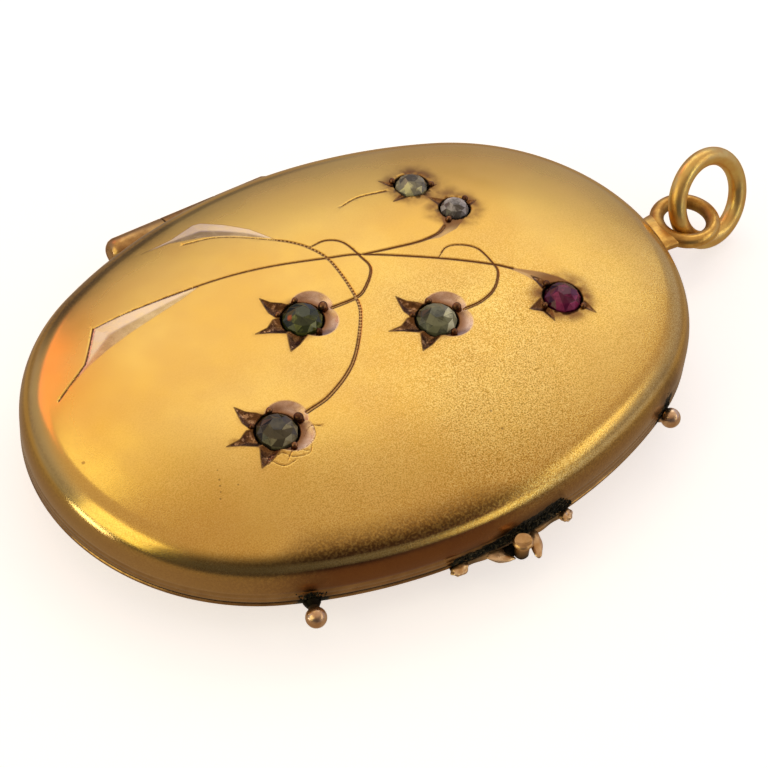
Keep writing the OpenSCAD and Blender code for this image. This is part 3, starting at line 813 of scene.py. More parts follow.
# Set beads
# Small grains of gold raised from the sheet with a graver and pushed over each stone's edge:
# four on a star's stone, two on a bud's and three on the ruby.
def new_tree(name, takes, inputs, makes):
    """A geometry node tree with its sockets and its two end nodes, and nothing between them yet."""
    tree = bpy.data.node_groups.new(name, "GeometryNodeTree")
    tree.is_modifier = True
    tree.interface.new_socket(takes, in_out="INPUT", socket_type="NodeSocketGeometry")
    for label, kind, value in inputs:
        socket = tree.interface.new_socket(label, in_out="INPUT", socket_type="NodeSocket" + kind)
        if value is not None:
            socket.default_value = value
    tree.interface.new_socket(makes, in_out="OUTPUT", socket_type="NodeSocketGeometry")
    return tree, tree.nodes.new("NodeGroupInput"), tree.nodes.new("NodeGroupOutput")


def bead_tree():
    """An uneven ball on each place, turned at random."""
    tree, given, result = new_tree("set_beads", "Places", (
        ("Bead radius", "Float", 0.0002), ("Unevenness", "Float", 0.2), ("Fineness", "Int", 3),
        ("Flatness", "Float", 1.0), ("Seed", "Int", 3), ("Surface", "Material", None)), "Beads")
    add, link = tree.nodes.new, tree.links.new
    ball = add("GeometryNodeMeshIcoSphere")
    put = add("GeometryNodeInstanceOnPoints")
    vary, spin = add("FunctionNodeRandomValue"), add("FunctionNodeRandomValue")
    spin.data_type = "FLOAT_VECTOR"
    press, shape = add("GeometryNodeTransform"), add("ShaderNodeCombineXYZ")
    shape.inputs["X"].default_value = shape.inputs["Y"].default_value = 1.0
    low, high = add("ShaderNodeMath"), add("ShaderNodeMath")
    low.operation, high.operation = "SUBTRACT", "ADD"
    low.inputs[0].default_value = high.inputs[0].default_value = 1.0
    size = add("GeometryNodeInputNamedAttribute")
    size.data_type = "FLOAT"
    size.inputs["Name"].default_value = "size"
    scaled = add("ShaderNodeMath")
    scaled.operation = "MULTIPLY"
    real, wear = add("GeometryNodeRealizeInstances"), add("GeometryNodeSetMaterial")
    link(given.outputs["Bead radius"], ball.inputs["Radius"])
    link(given.outputs["Places"], put.inputs["Points"])
    link(given.outputs["Fineness"], ball.inputs["Subdivisions"])
    link(given.outputs["Flatness"], shape.inputs["Z"])
    link(shape.outputs["Vector"], press.inputs["Scale"])
    link(ball.outputs["Mesh"], press.inputs["Geometry"])
    link(press.outputs["Geometry"], put.inputs["Instance"])
    turns = [k for k in spin.inputs if k.type == "VECTOR"]
    turns[0].default_value, turns[1].default_value = (0, 0, 0), (6.28, 6.28, 6.28)
    link(given.outputs["Seed"], spin.inputs["Seed"])
    link([k for k in spin.outputs if k.type == "VECTOR"][0], put.inputs["Rotation"])
    link(given.outputs["Unevenness"], low.inputs[1])
    link(given.outputs["Unevenness"], high.inputs[1])
    random_sockets = [s for s in vary.inputs if s.type == "VALUE"]
    link(low.outputs[0], random_sockets[0])
    link(high.outputs[0], random_sockets[1])
    link(given.outputs["Seed"], vary.inputs["Seed"])
    link([s for s in vary.outputs if s.type == "VALUE"][0], scaled.inputs[0])
    link([s for s in size.outputs if s.type == "VALUE"][0], scaled.inputs[1])
    link(scaled.outputs[0], put.inputs["Scale"])
    link(put.outputs["Instances"], real.inputs["Geometry"])
    link(real.outputs["Geometry"], wear.inputs["Geometry"])
    link(given.outputs["Surface"], wear.inputs["Material"])
    link(wear.outputs["Geometry"], result.inputs["Beads"])
    return tree


def beside(x, out):
    """The place at that distance outside the point of the catch side's outline at x."""
    way = np.array([x, -math.sqrt(side_r ** 2 - x ** 2)]) / side_r
    return np.array([0, side_y]) + (side_r + out) * way


def plain_copy(piece, name):
    """The mesh that a piece's modifiers make, as a piece of its own; the first one is removed."""
    made = bpy.data.meshes.new_from_object(piece.evaluated_get(bpy.context.evaluated_depsgraph_get()))
    made.name = name
    bpy.data.objects.remove(piece)
    made.shade_smooth()
    return in_scene(name, made)


def grown(places, tree, values, name):
    """Runs a node tree on a piece with those inputs and returns the plain result."""
    run = places.modifiers.new("made", "NODES")
    run.node_group = tree
    for item in tree.interface.items_tree:
        if item.in_out == "INPUT" and item.name in values:
            run[item.identifier] = values[item.name]
    return plain_copy(places, name)


def worn_gold(name, base, shade, dark_near=0.0, roughness=0.24):
    """Polished gold of the small parts: bright where it was rubbed, brown in its hollows."""
    f = Finish(name)
    patch = f.step(f.noise(900, 4, 0.6), 0.35, 0.66)
    knocks = f.noise(3200, 3, 0.6)
    colour = f.mix(patch, shade, base)
    shine = f.maths("ADD", f.between(patch, roughness + 0.12, roughness), f.times(knocks, 0.08))
    if dark_near:
        colour = f.mix(f.times(f.attribute("dirt"), dark_near), colour, (0.02, 0.018, 0.013))
        shine = f.between(f.attribute("dirt"), shine, 0.6)
    bumped = f.bump(knocks, 0.35, 0.00004, f.bump(f.noise(1100, 2), 0.3, 0.00008))
    return f.finish(Base_Color=colour, Roughness=shine, Normal=bumped, Metallic=1.0)


def grown_on(name, spots, values):
    """A bead at each spot, given as a place and a share of the bead's size."""
    seeds = bpy.data.meshes.new(name + "_spots")
    seeds.from_pydata([(x * mm, y * mm, (z + back_depth) * mm) for x, y, z, _ in spots], [], [])
    seeds.attributes.new("size", "FLOAT", "POINT").data.foreach_set("value", [spot[3] for spot in spots])
    return grown(in_scene(name + "_spots", seeds), set_beads, values, name)


set_beads = bead_tree()
bead_r = 0.2
spots = []
for name, ((x, y), width, directions) in stones.items():
    middle, out = stone_frame(name)
    lie = Vector((0, 0, 1)).rotation_difference(out)
    for direction in directions:
        a = math.radians(direction)
        big = 1.25 if name in stars and direction == directions[0] else 0.85
        r = width / 2 + seat_edge + bead_r * big
        spots.append(tuple(middle + lie @ Vector((r * math.cos(a), r * math.sin(a), 0.02))) + (big,))
bead_gold = worn_gold("bead_gold", (0.34, 0.17, 0.08), (0.10, 0.04, 0.02))
beads = grown_on("set_beads", spots, {"Bead radius": bead_r * mm, "Unevenness": 0.06, "Fineness": 4,
                                      "Flatness": 0.9, "Seed": 7, "Surface": bead_gold})
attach(beads, "case_front")
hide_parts("front_cover")


# The packed dirt
# Old polish and dirt, dried black-green in the slot over the catch and round the studs' feet.
f = Finish("packed_dirt")
speck = f.step(f.noise(6000, 3, 0.7), 0.45, 0.72)
f.material.diffuse_color = (0.03, 0.03, 0.02, 1)
f.shader.inputs["Specular IOR Level"].default_value = 0.12
dirt_look = f.finish(Base_Color=f.mix(speck, (0.006, 0.007, 0.005), (0.09, 0.07, 0.03)),
                     Roughness=f.between(speck, 0.8, 0.5))
chance = np.random.default_rng(5)
crumbs = []
for _ in range(520):
    x = chance.uniform(-3.4, 3.7)
    top = np.interp(x, (-3.4, -2.8, -1.8, -1.0, 0.5, 1.6, 2.6, 3.3, 3.7),
                    (0.15, 0.4, 0.3, 0.5, 0.8, 0.7, 1.05, 0.9, 0.3))
    top *= 1 + 0.25 * math.sin(5.1 * x) * math.sin(2.3 * x + 1)
    z = 0.06 + (top - 0.06) * chance.random() ** 1.4
    px, py = beside(x, -0.02 - 0.07 * max(0, z - 0.5) + 0.05 * chance.random())
    crumbs.append((px, py, z, chance.uniform(0.35, 1.0) * (1.25 - 0.5 * z / top)))
for foot_x in (-10.3, 11.35):
    for _ in range(60):
        px, py = beside(foot_x + chance.normal(0, 0.25), -0.02)
        crumbs.append((px, py, 0.08 + 0.5 * chance.random() ** 1.5, chance.uniform(0.35, 0.8)))
crust = grown_on("packed_dirt", crumbs, {"Bead radius": 0.12 * mm, "Unevenness": 0.3, "Fineness": 1,
                                         "Flatness": 0.6, "Seed": 11, "Surface": dirt_look})
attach(crust, "case_front")
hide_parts("front_cover")


# The back cover
# The shallower stamped half, of the same sheet, plain and rubbed by wear, with a flat in its
# middle. Everything that is soldered on sits on this half.
back_in, back_z, back_r = 7.7589, 19.76, 22.0
back_roll_in, back_roll_z, back_roll_r = 3.06, 2.38, 4.0
back_turn_in = 2.016
back_outside = [(wall, -seam_half), (0.05, -seam_half), (0.0, -0.07), (0.0, -0.19)]
back_inside = [(wall, -seam_half), (wall, -0.1)]
last = math.acos((back_roll_in - back_turn_in) / back_roll_r)
for section, inwards, steps, flat_insets in ((back_outside, 0.0, 14, (2.6, 3.4, 4.4, 5.4, 6.5, back_in)),
                                             (back_inside, wall, 10, (2.8, 3.8, 5.0, 6.3, back_in))):
    roll_r, flat_r = back_roll_r - inwards, back_r - inwards
    first = math.acos((back_roll_in - inwards) / roll_r)
    section += [(back_roll_in - roll_r * math.cos(a), back_roll_z - roll_r * math.sin(a))
                for a in np.linspace(first + 0.02, last, steps)]
    section += [(inset, back_z - math.sqrt(flat_r ** 2 - (back_in - inset) ** 2)) for inset in flat_insets]
bowl, bowl_faces = sweep(back_outside, closed_by_flat=True)
tray, tray_faces = sweep(back_inside, closed_by_flat=True)
corners = clear_of_barrel(np.vstack([bowl, tray]), [
    (barrel_x - 0.5 * knuckle_l - knuckle_gap, barrel_x + 0.5 * knuckle_l + knuckle_gap)])
faces = bowl_faces + [tuple(i + len(bowl) for i in face) for face in tray_faces]
back_cover_dressed = make_piece("back_cover_shell", corners, faces, smooth_below=28)

# dirt on the outside, round the catch's post and the two studs, whose balls stand out that far
post_x, post_dirt_reach = 0.1, 3.6
studs = [(-10.2, 0.96), (11.4, 0.42)]
at = corners_of(back_cover_dressed)
dirt = np.clip(1.25 - np.abs(at[:, 0] - post_x) / post_dirt_reach, 0, 1) * (at[:, 1] < -10)
dirt *= np.clip(1.2 + at[:, 2], 0, 1)
for x, _ in studs:
    dirt = np.maximum(dirt, np.clip(1.5 - np.linalg.norm(at - (*beside(x, 0), -0.2), axis=1) / 0.9, 0, 1))
dirt *= inset_of(at[:, 0], at[:, 1])[0] < 0.3
store(back_cover_dressed, {"dirt": np.clip(dirt, 0, 1), "height": at[:, 2]})
f = Finish("back_worn_gold")
tone = f.step(f.noise(180, 3), 0.35, 0.65)
rub = f.step(f.noise(650, 5, 0.65), 0.35, 0.7)
colour = f.mix(tone, deep_gold, yellow_gold)
colour = f.mix(f.times(rub, 0.3), colour, (0.62, 0.36, 0.15))
near_rim = f.step(f.attribute("height"), -0.75, -0.05, 0.0, 0.9)
colour = f.mix(near_rim, colour, f.mix(rub, (0.20, 0.10, 0.04), (0.42, 0.25, 0.10)))
dirt_in = f.step(f.times(f.attribute("dirt"), f.between(0.6, 1.0, f.noise(2400, 4))), 0.25, 0.55)
colour = f.mix(dirt_in, colour, (0.02, 0.02, 0.013))
scuffs = f.stretched_noise(500, 5, (1, 9, 1), 0.6)
roughness = f.between(dirt_in, f.step(scuffs, 0.35, 0.7, 0.18, 0.36), 0.65)
bumped = f.bump(scuffs, 0.12, 0.00006, f.bump(f.noise(5000, 2), 0.12, 0.00002))
metallic = f.between(dirt_in, 1.0, 0.2)
back_cover_dressed.data.materials.append(
    f.finish(Base_Color=colour, Roughness=roughness, Normal=bumped, Metallic=metallic))
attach(back_cover_dressed, "case_back")
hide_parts("back_cover")


# The hinge barrel
# Three knuckles of drawn gold tube, the outer two soldered to the back cover and the middle one
# to the front, all on one plain pin.
knuckle_r, pin_bore, leaf_h = 0.8, 0.365, 0.53
knuckle_gold = worn_gold("hinge_gold", (0.74, 0.46, 0.17), (0.48, 0.27, 0.10), dark_near=0.6)


def knuckle(name, start, stop, outer, above, body, stands_for):
    """A tube with a solder leaf to its cover, and a rounded end where it is an outer one."""
    leaf_top = leaf_h if above else -seam_half
    leaf_low = seam_half if above else -leaf_h
    profile = [(0, leaf_low), (0, leaf_top)]
    first = math.asin(min(1, (leaf_top - hinge_z) / knuckle_r))
    last = math.asin(max(-1, (leaf_low - hinge_z) / knuckle_r))
    around = np.linspace(math.pi - first, -math.pi - last, 44)
    profile += [(hinge_y + knuckle_r * math.cos(a), hinge_z + knuckle_r * math.sin(a)) for a in around]
    n = len(profile)
    rounded, crisp = 0.45, 0.05
    soft_start, soft_stop = (rounded if outer < 0 else crisp), (rounded if outer > 0 else crisp)
    rounding = ((0.0, 0.9), (0.15, 0.6), (0.5, 0.2), (1.0, 0.0))
    stations = [(start + along * soft_start, 1 - less * soft_start) for along, less in rounding]
    stations += [(stop - along * soft_stop, 1 - less * soft_stop) for along, less in reversed(rounding)]
    corners = []
    for x, share in stations:
        in_the_wall = math.sqrt(side_r ** 2 - x ** 2) - side_y - 0.22
        for y, z in profile:
            if y:
                y, z = hinge_y + (y - hinge_y) * share, hinge_z + (z - hinge_z) * share
            corners.append((x, y or in_the_wall, z))
    for k in range(n):
        a = math.atan2(profile[k][1] - hinge_z, (profile[k][0] or half_w - 0.4) - hinge_y)
        for x in (start, stop):
            corners.append((x, hinge_y + pin_bore * math.cos(a), hinge_z + pin_bore * math.sin(a)))
    base = n * len(stations)
    faces = bands(len(stations), n)
    for k in range(n):
        j = (k + 1) % n
        faces.append((k, j, base + 2 * j, base + 2 * k))
        faces.append((base - n + k, base - n + j, base + 2 * j + 1, base + 2 * k + 1))
        faces.append((base + 2 * k, base + 2 * j, base + 2 * j + 1, base + 2 * k + 1))
    piece = make_piece(name, corners, faces)
    at = corners_of(piece)
    ends = np.minimum(np.abs(at[:, 0] - start), np.abs(at[:, 0] - stop))
    ends = np.where(np.abs(at[:, 0] - barrel_x) > 1.4 * knuckle_l, far_off, ends)
    store(piece, {"dirt": np.clip(np.maximum(1 - ends / 0.12, (hinge_y - 0.45 - at[:, 1]) * 2), 0, 1)})
    piece.data.materials.append(knuckle_gold)
    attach(piece, body)
    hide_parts(stands_for)


joint_left, joint_right = barrel_x - knuckle_l / 2, barrel_x + knuckle_l / 2
knuckle("hinge_knuckle_middle", joint_left + knuckle_gap, joint_right - knuckle_gap, 0, True,
        "case_front", "front_cover")
knuckle("hinge_knuckle_left", barrel_x - 1.5 * knuckle_l, joint_left - knuckle_gap, -1, False,
        "case_back", "back_cover")
knuckle("hinge_knuckle_right", joint_right + knuckle_gap, barrel_x + 1.5 * knuckle_l, 1, False,
        "case_back", "back_cover")

f = Finish("hinge_pin_gold")
drawn = f.stretched_noise(900, 3, (0.08, 1, 1))
pin_colour = f.mix(f.step(drawn, 0.35, 0.65), (0.50, 0.29, 0.11), (0.74, 0.46, 0.17))
pin_look = f.finish(Base_Color=pin_colour, Roughness=f.step(drawn, 0.3, 0.7, 0.2, 0.4), Metallic=1.0)
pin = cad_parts["hinge_pin"]
pin.data.materials.clear()
pin.data.materials.append(pin_look)


# The eye and the jump ring
# A closed ring of round gold wire soldered level to the end of the back cover on a flared neck,
# and a loose, slightly thicker wire ring through it for the chain.
def wire_ring_tree():
    """A round wire bent into a level ring."""
    tree, given, result = new_tree("wire_ring", "Start", (
        ("Ring radius", "Float", 0.002), ("Wire radius", "Float", 0.0005), ("Steps round", "Int", 128),
        ("Wire sides", "Int", 32), ("Gold", "Material", None)), "Ring")
    add, link = tree.nodes.new, tree.links.new
    path, wire = add("GeometryNodeCurvePrimitiveCircle"), add("GeometryNodeCurvePrimitiveCircle")
    tube, real = add("GeometryNodeCurveToMesh"), add("GeometryNodeRealizeInstances")
    wear = add("GeometryNodeSetMaterial")
    link(given.outputs["Ring radius"], path.inputs["Radius"])
    link(given.outputs["Steps round"], path.inputs["Resolution"])
    link(given.outputs["Wire radius"], wire.inputs["Radius"])
    link(given.outputs["Wire sides"], wire.inputs["Resolution"])
    link(path.outputs["Curve"], tube.inputs["Curve"])
    link(wire.outputs["Curve"], tube.inputs["Profile Curve"])
    link(tube.outputs["Mesh"], real.inputs["Geometry"])
    link(real.outputs["Geometry"], wear.inputs["Geometry"])
    link(given.outputs["Gold"], wear.inputs["Material"])
    link(wear.outputs["Geometry"], result.inputs["Ring"])
    return tree


ring_tree = wire_ring_tree()
eye_x, eye_z, eye_r, eye_wire_r = half_l + 3.24, -0.22, 1.55, 0.4


def wire_ring(name, ring_r, wire_r, gold, place):
    """A closed wire ring, put in its place with its faces outwards."""
    start = in_scene(name + "_start", bpy.data.meshes.new(name + "_start"))
    ring = grown(start, ring_tree, {"Ring radius": ring_r * mm, "Wire radius": wire_r * mm,
                                    "Steps round": 144, "Wire sides": 36, "Gold": gold}, name)
    ring.data.transform(place)
    work = bmesh.new()
    work.from_mesh(ring.data)
    bmesh.ops.recalc_face_normals(work, faces=work.faces)
    work.to_mesh(ring.data)
    work.free()
    return ring


eye_gold = worn_gold("eye_gold", (0.92, 0.58, 0.15), (0.60, 0.32, 0.08), dark_near=0.6)
eye = wire_ring("chain_eye", eye_r, eye_wire_r, eye_gold,
                Matrix.Translation(Vector((eye_x, 0, eye_z + back_depth)) * mm))
at = corners_of(eye)
hollow = np.clip((eye_r - np.hypot(at[:, 0] - eye_x, at[:, 1])) / eye_wire_r - 0.15, 0, 1)
store(eye, {"dirt": np.clip(hollow + np.clip((eye_x - 0.9 - at[:, 0]) * 0.6, 0, 0.6), 0, 1)})

# the neck's sections: how far past the case's end, half the width, half the height, and the middle's level
neck_rows = [(-0.4, 1.45, 0.28, -0.36), (-0.1, 1.5, 0.32, -0.36), (0.06, 1.5, 0.36, -0.3),
             (0.35, 1.38, 0.37, -0.24), (0.75, 1.28, 0.37, -0.22), (1.2, 1.24, 0.37, -0.22),
             (1.65, 1.3, 0.36, -0.22), (1.95, 1.28, 0.3, -0.22)]
neck, sides = [], 40
for past, wide, high, z in neck_rows:
    for k in range(sides):
        a = 2 * math.pi * k / sides
        neck.append((half_l + past, wide * math.copysign(abs(math.cos(a)) ** 0.6, math.cos(a)),
                     z + high * math.copysign(abs(math.sin(a)) ** 0.75, math.sin(a))))
neck_faces = bands(len(neck_rows), sides) + [tuple(range(sides)), tuple(range(len(neck) - sides, len(neck)))]
neck = np.array(neck)
under = (inset_of(neck[:, 0], neck[:, 1])[0] > -0.05) & (neck[:, 2] > -0.06)
neck[under, 2] = -0.06
neck_piece = make_piece("eye_neck", neck, neck_faces, smooth_below=50)
at = corners_of(neck_piece)
store(neck_piece, {"dirt": np.clip((half_l + 0.5 - at[:, 0]) * 1.2, 0, 0.8)})
neck_piece.data.materials.append(eye_gold)
for piece in (eye, neck_piece):
    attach(piece, "case_back")
    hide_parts("back_cover")

ring_place = (Matrix.Translation(Vector((eye_x + eye_r + 0.11, 0.23, 0.5 + back_depth)) * mm)
              @ Matrix.Rotation(math.radians(7.5), 4, "Z") @ Matrix.Rotation(math.radians(90 - 25.3), 4, "X"))
# the jump ring's gold is brighter than the case's: painted light in place of the light it lacks
ring_gold_brightened = worn_gold("jump_ring_gold", (1.0, 0.75, 0.24), (0.92, 0.58, 0.17), roughness=0.24)
jump_ring = wire_ring("jump_ring_wire", 2.33, 0.5, ring_gold_brightened, ring_place)
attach(jump_ring, "loose_ring")
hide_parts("jump_ring")


# The ball studs
# Two solid gold balls, each soldered to the edge of the back cover on a short flared neck that
# has gone black round its foot.
# the studs' gold is paler than the case's: partly their own metal, partly painted light for the dim side they
# face
stud_gold = worn_gold("stud_gold", (0.98, 0.74, 0.48), (0.66, 0.38, 0.19), dark_near=1.0, roughness=0.2)
stud_r = 0.52
for label, (x, out) in zip(("left", "right"), studs):
    middle = np.array([*beside(x, out), -0.12])
    way = middle[:2] - np.array([0, side_y])
    way /= np.linalg.norm(way)
    side = np.array([-way[1], way[0]])
    profile = [(-out - 0.5, 0.0), (-out - 0.5, 0.36), (-out - 0.05, 0.46), (-out + 0.1, 0.4),
               (-0.5 * out - 0.12, 0.27)]
    neck_turn = math.pi - 0.62
    profile += [(stud_r * math.cos(a), stud_r * math.sin(a)) for a in np.linspace(neck_turn, 0, 26)]
    corners, sides = [], 48
    for u, r in profile:
        for k in range(sides):
            a = 2 * math.pi * k / sides
            z = r * math.sin(a) - 0.1 * np.clip(-u - 0.35, 0, 1)
            p = middle[:2] + way * u + side * r * math.cos(a)
            corners.append([p[0], p[1], middle[2] + z])
    corners = np.array(corners)
    under_front = (inset_of(corners[:, 0], corners[:, 1])[0] > -0.05) & (corners[:, 2] > -0.07)
    corners[under_front, 2] = -0.07
    stud = make_piece("ball_stud_" + label, corners, bands(len(profile), sides), smooth_below=60)
    at = corners_of(stud)
    u = (at[:, :2] - middle[:2]) @ way
    store(stud, {"dirt": np.clip((-0.3 - u) * 5, 0, 1)})
    stud.data.materials.append(stud_gold)
    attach(stud, "case_back")
    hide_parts("back_cover")


# The catch
# A scalloped strip under the seam with a lobe at each end and two small leaves, and in front of it
# a headed post that the front cover's edge snaps behind. The slot between is packed with old grime.
# the catch's gold is paler than the case's: partly its own metal, partly painted light for the dim side it
# faces
catch_gold = worn_gold("catch_gold", (1.0, 0.76, 0.46), (0.70, 0.42, 0.17), dark_near=1.0, roughness=0.22)
plate_top, plate_t = -0.12, 0.35


def pebble(middle, sizes, turned=0.0, tip=0.0, tilt=0.0, seed=1.0, dent=0.0):
    """A small rounded lump or leaf of metal: sizes along, across and up, and one end more pointed."""
    work = bmesh.new()
    bmesh.ops.create_icosphere(work, subdivisions=4, radius=1)
    place = (Matrix.Translation(middle) @ Matrix.Rotation(math.radians(turned), 4, "Z")
             @ Matrix.Rotation(math.radians(tilt), 4, "Y"))
    for v in work.verts:
        x, y, z = v.co
        lump = 1 + dent * math.sin(5 * x + 3 * seed) * math.cos(6 * y + seed) * math.sin(4 * z + 2 * seed)
        longer, narrower = 1 + 0.25 * tip * max(x, 0) ** 2, 1 - tip * max(x, 0) ** 1.5
        v.co = place @ Vector((x * sizes[0] * lump * longer, y * sizes[1] * narrower * lump,
                               z * sizes[2] * lump))
    corners = [tuple(v.co) for v in work.verts]
    faces = [tuple(v.index for v in face.verts) for face in work.faces]
    work.free()
    return np.array(corners), faces


def joined(parts):
    """Several parts as one set of corners and faces."""
    corners, faces, so_far = [], [], 0
    for c, f in parts:
        corners.append(c)
        faces += [tuple(i + so_far for i in face) for face in f]
        so_far += len(c)
    return np.vstack(corners), faces


strip_section = [(-0.27, plate_top), (0.06, plate_top), (0.12, plate_top - 0.05), (0.12, plate_top - 0.3),
                 (0.06, plate_top - plate_t), (-0.5, plate_top - plate_t)]
strip_start, strip_stop = -3.05, 3.25
strip = []
strip_x = np.linspace(strip_start, strip_stop, 61)
for x in strip_x:
    wave = 0.04 * math.cos(2 * math.pi * (x - post_x) / 1.6)
    for out, z in strip_section:
        strip.append((*beside(x, out + (wave if out > 0 else 0)), z))
n = len(strip_section)
strip_faces = bands(len(strip_x), n) + [tuple(range(n)), tuple(range(len(strip) - n, len(strip)))]
mid_z = plate_top - plate_t / 2
leaf_turn = -115
leaf_way = np.array([math.cos(math.radians(leaf_turn)), math.sin(math.radians(leaf_turn))])
leaf_middle = beside(1.3, 0.05) + 0.72 * leaf_way
corners, faces = joined([
    (np.array(strip), strip_faces),
    pebble((*beside(strip_start, 0.16), mid_z + 0.05), (0.5, 0.4, 0.2), 14, 0.3, -8, 1.3, 0.2),
    pebble((*beside(strip_stop, 0.16), mid_z + 0.05), (0.47, 0.38, 0.2), 60, 0.25, 6, 2.1, 0.18),
    pebble((*beside(-0.95, 0.33), mid_z), (0.72, 0.45, 0.14), -38, 0.45, 8, 0.7, 0.06),
    pebble((*leaf_middle, mid_z), (0.78, 0.3, 0.14), leaf_turn, 0.15, 10, 0.4, 0.06)])
plate = make_piece("catch_plate", corners, faces, smooth_below=45)
at = corners_of(plate)
out_there = -inset_of(at[:, 0], at[:, 1])[0]
store(plate, {"dirt": np.clip((0.22 - out_there) * 5, 0, 1)})

post_out, post_r, head_r, post_top, post_foot = 0.7, 0.36, 0.52, 0.6, -0.5
rows = [(0.0, post_foot), (0.3, post_foot), (post_r, post_foot + 0.06), (post_r, 0.1), (0.34, 0.26),
        (0.4, 0.34), (0.49, 0.38), (head_r, 0.44), (head_r, 0.5), (0.485, 0.56), (0.43, post_top),
        (0.36, 0.585), (0.2, 0.545), (0.0, 0.535)]
post, sides = [], 48
for r, z in rows:
    for k in range(sides):
        a = 2 * math.pi * k / sides
        wobble = 1 + 0.03 * math.sin(2 * a + 0.8) + 0.02 * math.sin(5 * a)
        post.append((post_x + r * wobble * math.cos(a), -half_w - post_out + r * wobble * math.sin(a), z))
block = [(post_x + sx * 0.34, y, z) for sx in (-1, 1) for y in (-half_w - post_out, -half_w + 0.25)
         for z in (post_foot + 0.02, plate_top - 0.02)]
block_faces = [(0, 1, 3, 2), (4, 6, 7, 5), (0, 4, 5, 1), (2, 3, 7, 6), (0, 2, 6, 4), (1, 5, 7, 3)]
solder = pebble((post_x - 0.42, -half_w - 0.3, -0.33), (0.42, 0.36, 0.17), 20, 0.1, 0, 1.7, 0.15)
corners, faces = joined([(np.array(post), bands(len(rows), sides)), (np.array(block), block_faces), solder])
post_piece = make_piece("catch_post", corners, faces, smooth_below=40)
at = corners_of(post_piece)
store(post_piece, {"dirt": np.clip((0.25 - at[:, 2]) * 3, 0, 1)})
for piece in (plate, post_piece):
    piece.data.materials.append(catch_gold)
    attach(piece, "case_back")
    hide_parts("back_cover")


# The table and the light
# A plain white table under soft studio lights: a large one beyond the locket, two windows, and three
# tinted cards for the yellow and orange reflections in the polished shoulder. The camera's side is
# left dim, and the table stays out of the mirror-like reflections.
table = in_scene("table", bpy.data.meshes.new("table"))
table_z = -0.00002  # a hair under the locket
table.data.from_pydata([(x, y, table_z) for x, y in ((-1, -1), (1, -1), (1, 1), (-1, 1))], [], [(0, 1, 2, 3)])
f = Finish("white_table")
paper = f.mix(f.noise(40, 2), (0.86, 0.86, 0.86), (0.88, 0.88, 0.88))
f.shader.inputs["Emission Color"].default_value = (1, 1, 1, 1)
f.shader.inputs["Emission Strength"].default_value = 0.6
table.data.materials.append(f.finish(Base_Color=paper, Roughness=0.9))
table.visible_glossy = False

# each light's way from the locket, the way of its long side, its distance, sizes, radiance and tint
light_aims = Vector((0, 0, 0.003))
for name, towards, along, away, size, radiance, tint in (
    ("far_light", (0.47, 0.53, 0.71), (0.77, -0.63, 0), 0.42, (0.35, 0.20), 0.80, (0.96, 1.0, 0.98)),
    ("right_window", (0.56, -0.70, 0.43), (0.5, 0.82, 0.59), 0.40, (0.42, 0.09), 1.3, (1.0, 0.95, 0.65)),
    ("left_window", (-0.95, 0.20, -0.02), (0.20, 0.95, 0.1), 0.40, (0.12, 0.03), 10.0, (1.0, 1.0, 1.0)),
    ("left_card", (-0.88, 0.05, 0.42), (0.05, 1, 0), 0.38, (0.22, 0.24), 1.5, (1.0, 0.93, 0.42)),
    ("yellow_card", (-0.06, 0.55, 0.83), (1, 0.3, 0), 0.36, (0.10, 0.09), 0.9, (1.0, 0.95, 0.45)),
    ("warm_card", (-0.13, 0.80, 0.55), (1, 0.1, 0), 0.35, (0.15, 0.12), 0.9, (1.0, 0.28, 0.10)),
):
    data = bpy.data.lights.new(name, "AREA")
    data.shape, data.size, data.size_y = "RECTANGLE", size[0], size[1]
    data.energy = radiance * math.pi * size[0] * size[1]
    data.color = tint
    lamp = in_scene(name, data)
    way = Vector(towards).normalized()
    across = way.cross(Vector(along)).normalized()
    lamp.matrix_world = Matrix.Translation(light_aims + way * away) @ Matrix(
        (across.cross(way), across, way)).transposed().to_4x4()

# The room: lit beyond the locket and at the right, cooler low down and warmer overhead, dark behind
# the camera and at the left, with a brown floor for the reflections
world = bpy.data.worlds.new("studio")
world.use_nodes = True
tree = world.node_tree
towards = tree.nodes.new("ShaderNodeTexCoord").outputs["Generated"]


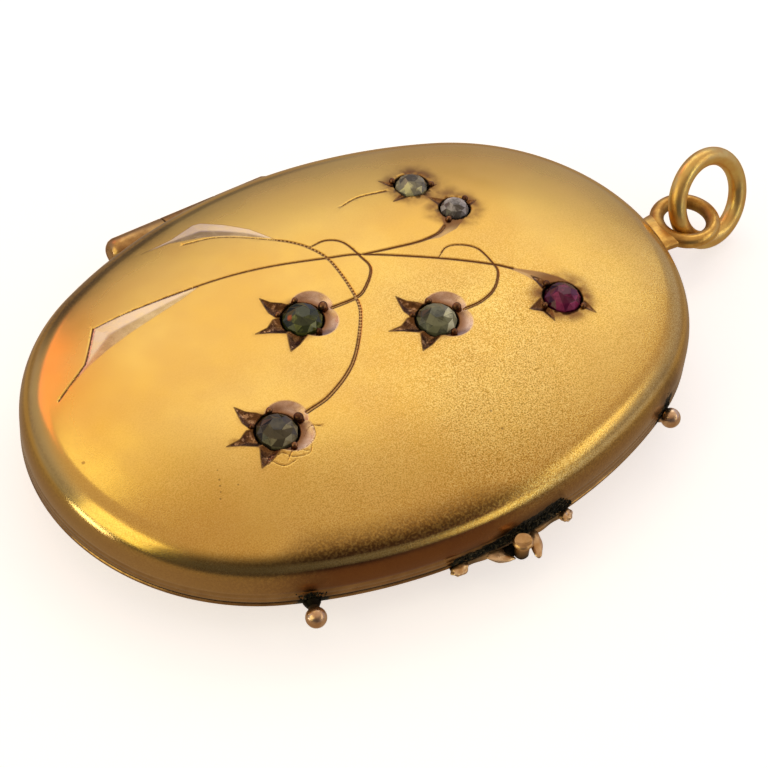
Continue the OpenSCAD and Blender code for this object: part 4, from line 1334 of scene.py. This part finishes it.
def world_share(way, start, stop, low, high):
    """A smooth change over the angle from that direction, given as cosines."""
    facing = tree.nodes.new("ShaderNodeVectorMath")
    facing.operation = "DOT_PRODUCT"
    facing.inputs[1].default_value = Vector(way).normalized()
    share = tree.nodes.new("ShaderNodeMapRange")
    share.interpolation_type = "SMOOTHSTEP"
    for key, value in (("From Min", start), ("From Max", stop), ("To Min", low), ("To Max", high)):
        share.inputs[key].default_value = value
    tree.links.new(towards, facing.inputs[0])
    tree.links.new(facing.outputs["Value"], share.inputs["Value"])
    return share.outputs["Result"]


def world_join(operation, a, b):
    made = tree.nodes.new("ShaderNodeMath")
    made.operation = operation
    tree.links.new(a, made.inputs[0])
    tree.links.new(b, made.inputs[1])
    return made.outputs[0]


air = tree.nodes.new("ShaderNodeMix")
air.data_type = "RGBA"
tree.links.new(world_share((0, 0, 1), 0.3, 0.8, 0.0, 1.0), air.inputs["Factor"])
cool_air, warm_air = (0.45, 0.43, 0.60, 1), (0.60, 0.46, 0.36, 1)
for socket, value in zip([k for k in air.inputs if k.type == "RGBA"], (cool_air, warm_air)):
    socket.default_value = value
lit = world_join("MAXIMUM", world_share((0.1, 0.62, 0.78), -0.1, 0.65, 0.16, 1.0),
                 world_share((0.95, -0.1, 0.25), 0.3, 0.9, 0.0, 1.0))
lit = world_join("MAXIMUM", lit, world_share((0.55, -0.75, 0.36), 0.5, 0.95, 0.0, 0.4))
lit = world_join("MULTIPLY", lit, world_share((0.2, 0.96, 0.10), 0.92, 0.985, 1.0, 0.35))
above_table = tree.nodes.new("ShaderNodeVectorMath")
above_table.operation = "SCALE"
tree.links.new([k for k in air.outputs if k.type == "RGBA"][0], above_table.inputs[0])
tree.links.new(lit, above_table.inputs["Scale"])
room = tree.nodes.new("ShaderNodeMix")
room.data_type = "RGBA"
tree.links.new(world_share((0, 0, 1), -0.12, 0.04, 0.0, 1.0), room.inputs["Factor"])
under, over = [k for k in room.inputs if k.type == "RGBA"]
under.default_value = (0.39, 0.30, 0.21, 1)
tree.links.new(above_table.outputs["Vector"], over)
tree.links.new([k for k in room.outputs if k.type == "RGBA"][0], tree.nodes["Background"].inputs["Color"])
bpy.context.scene.world = world
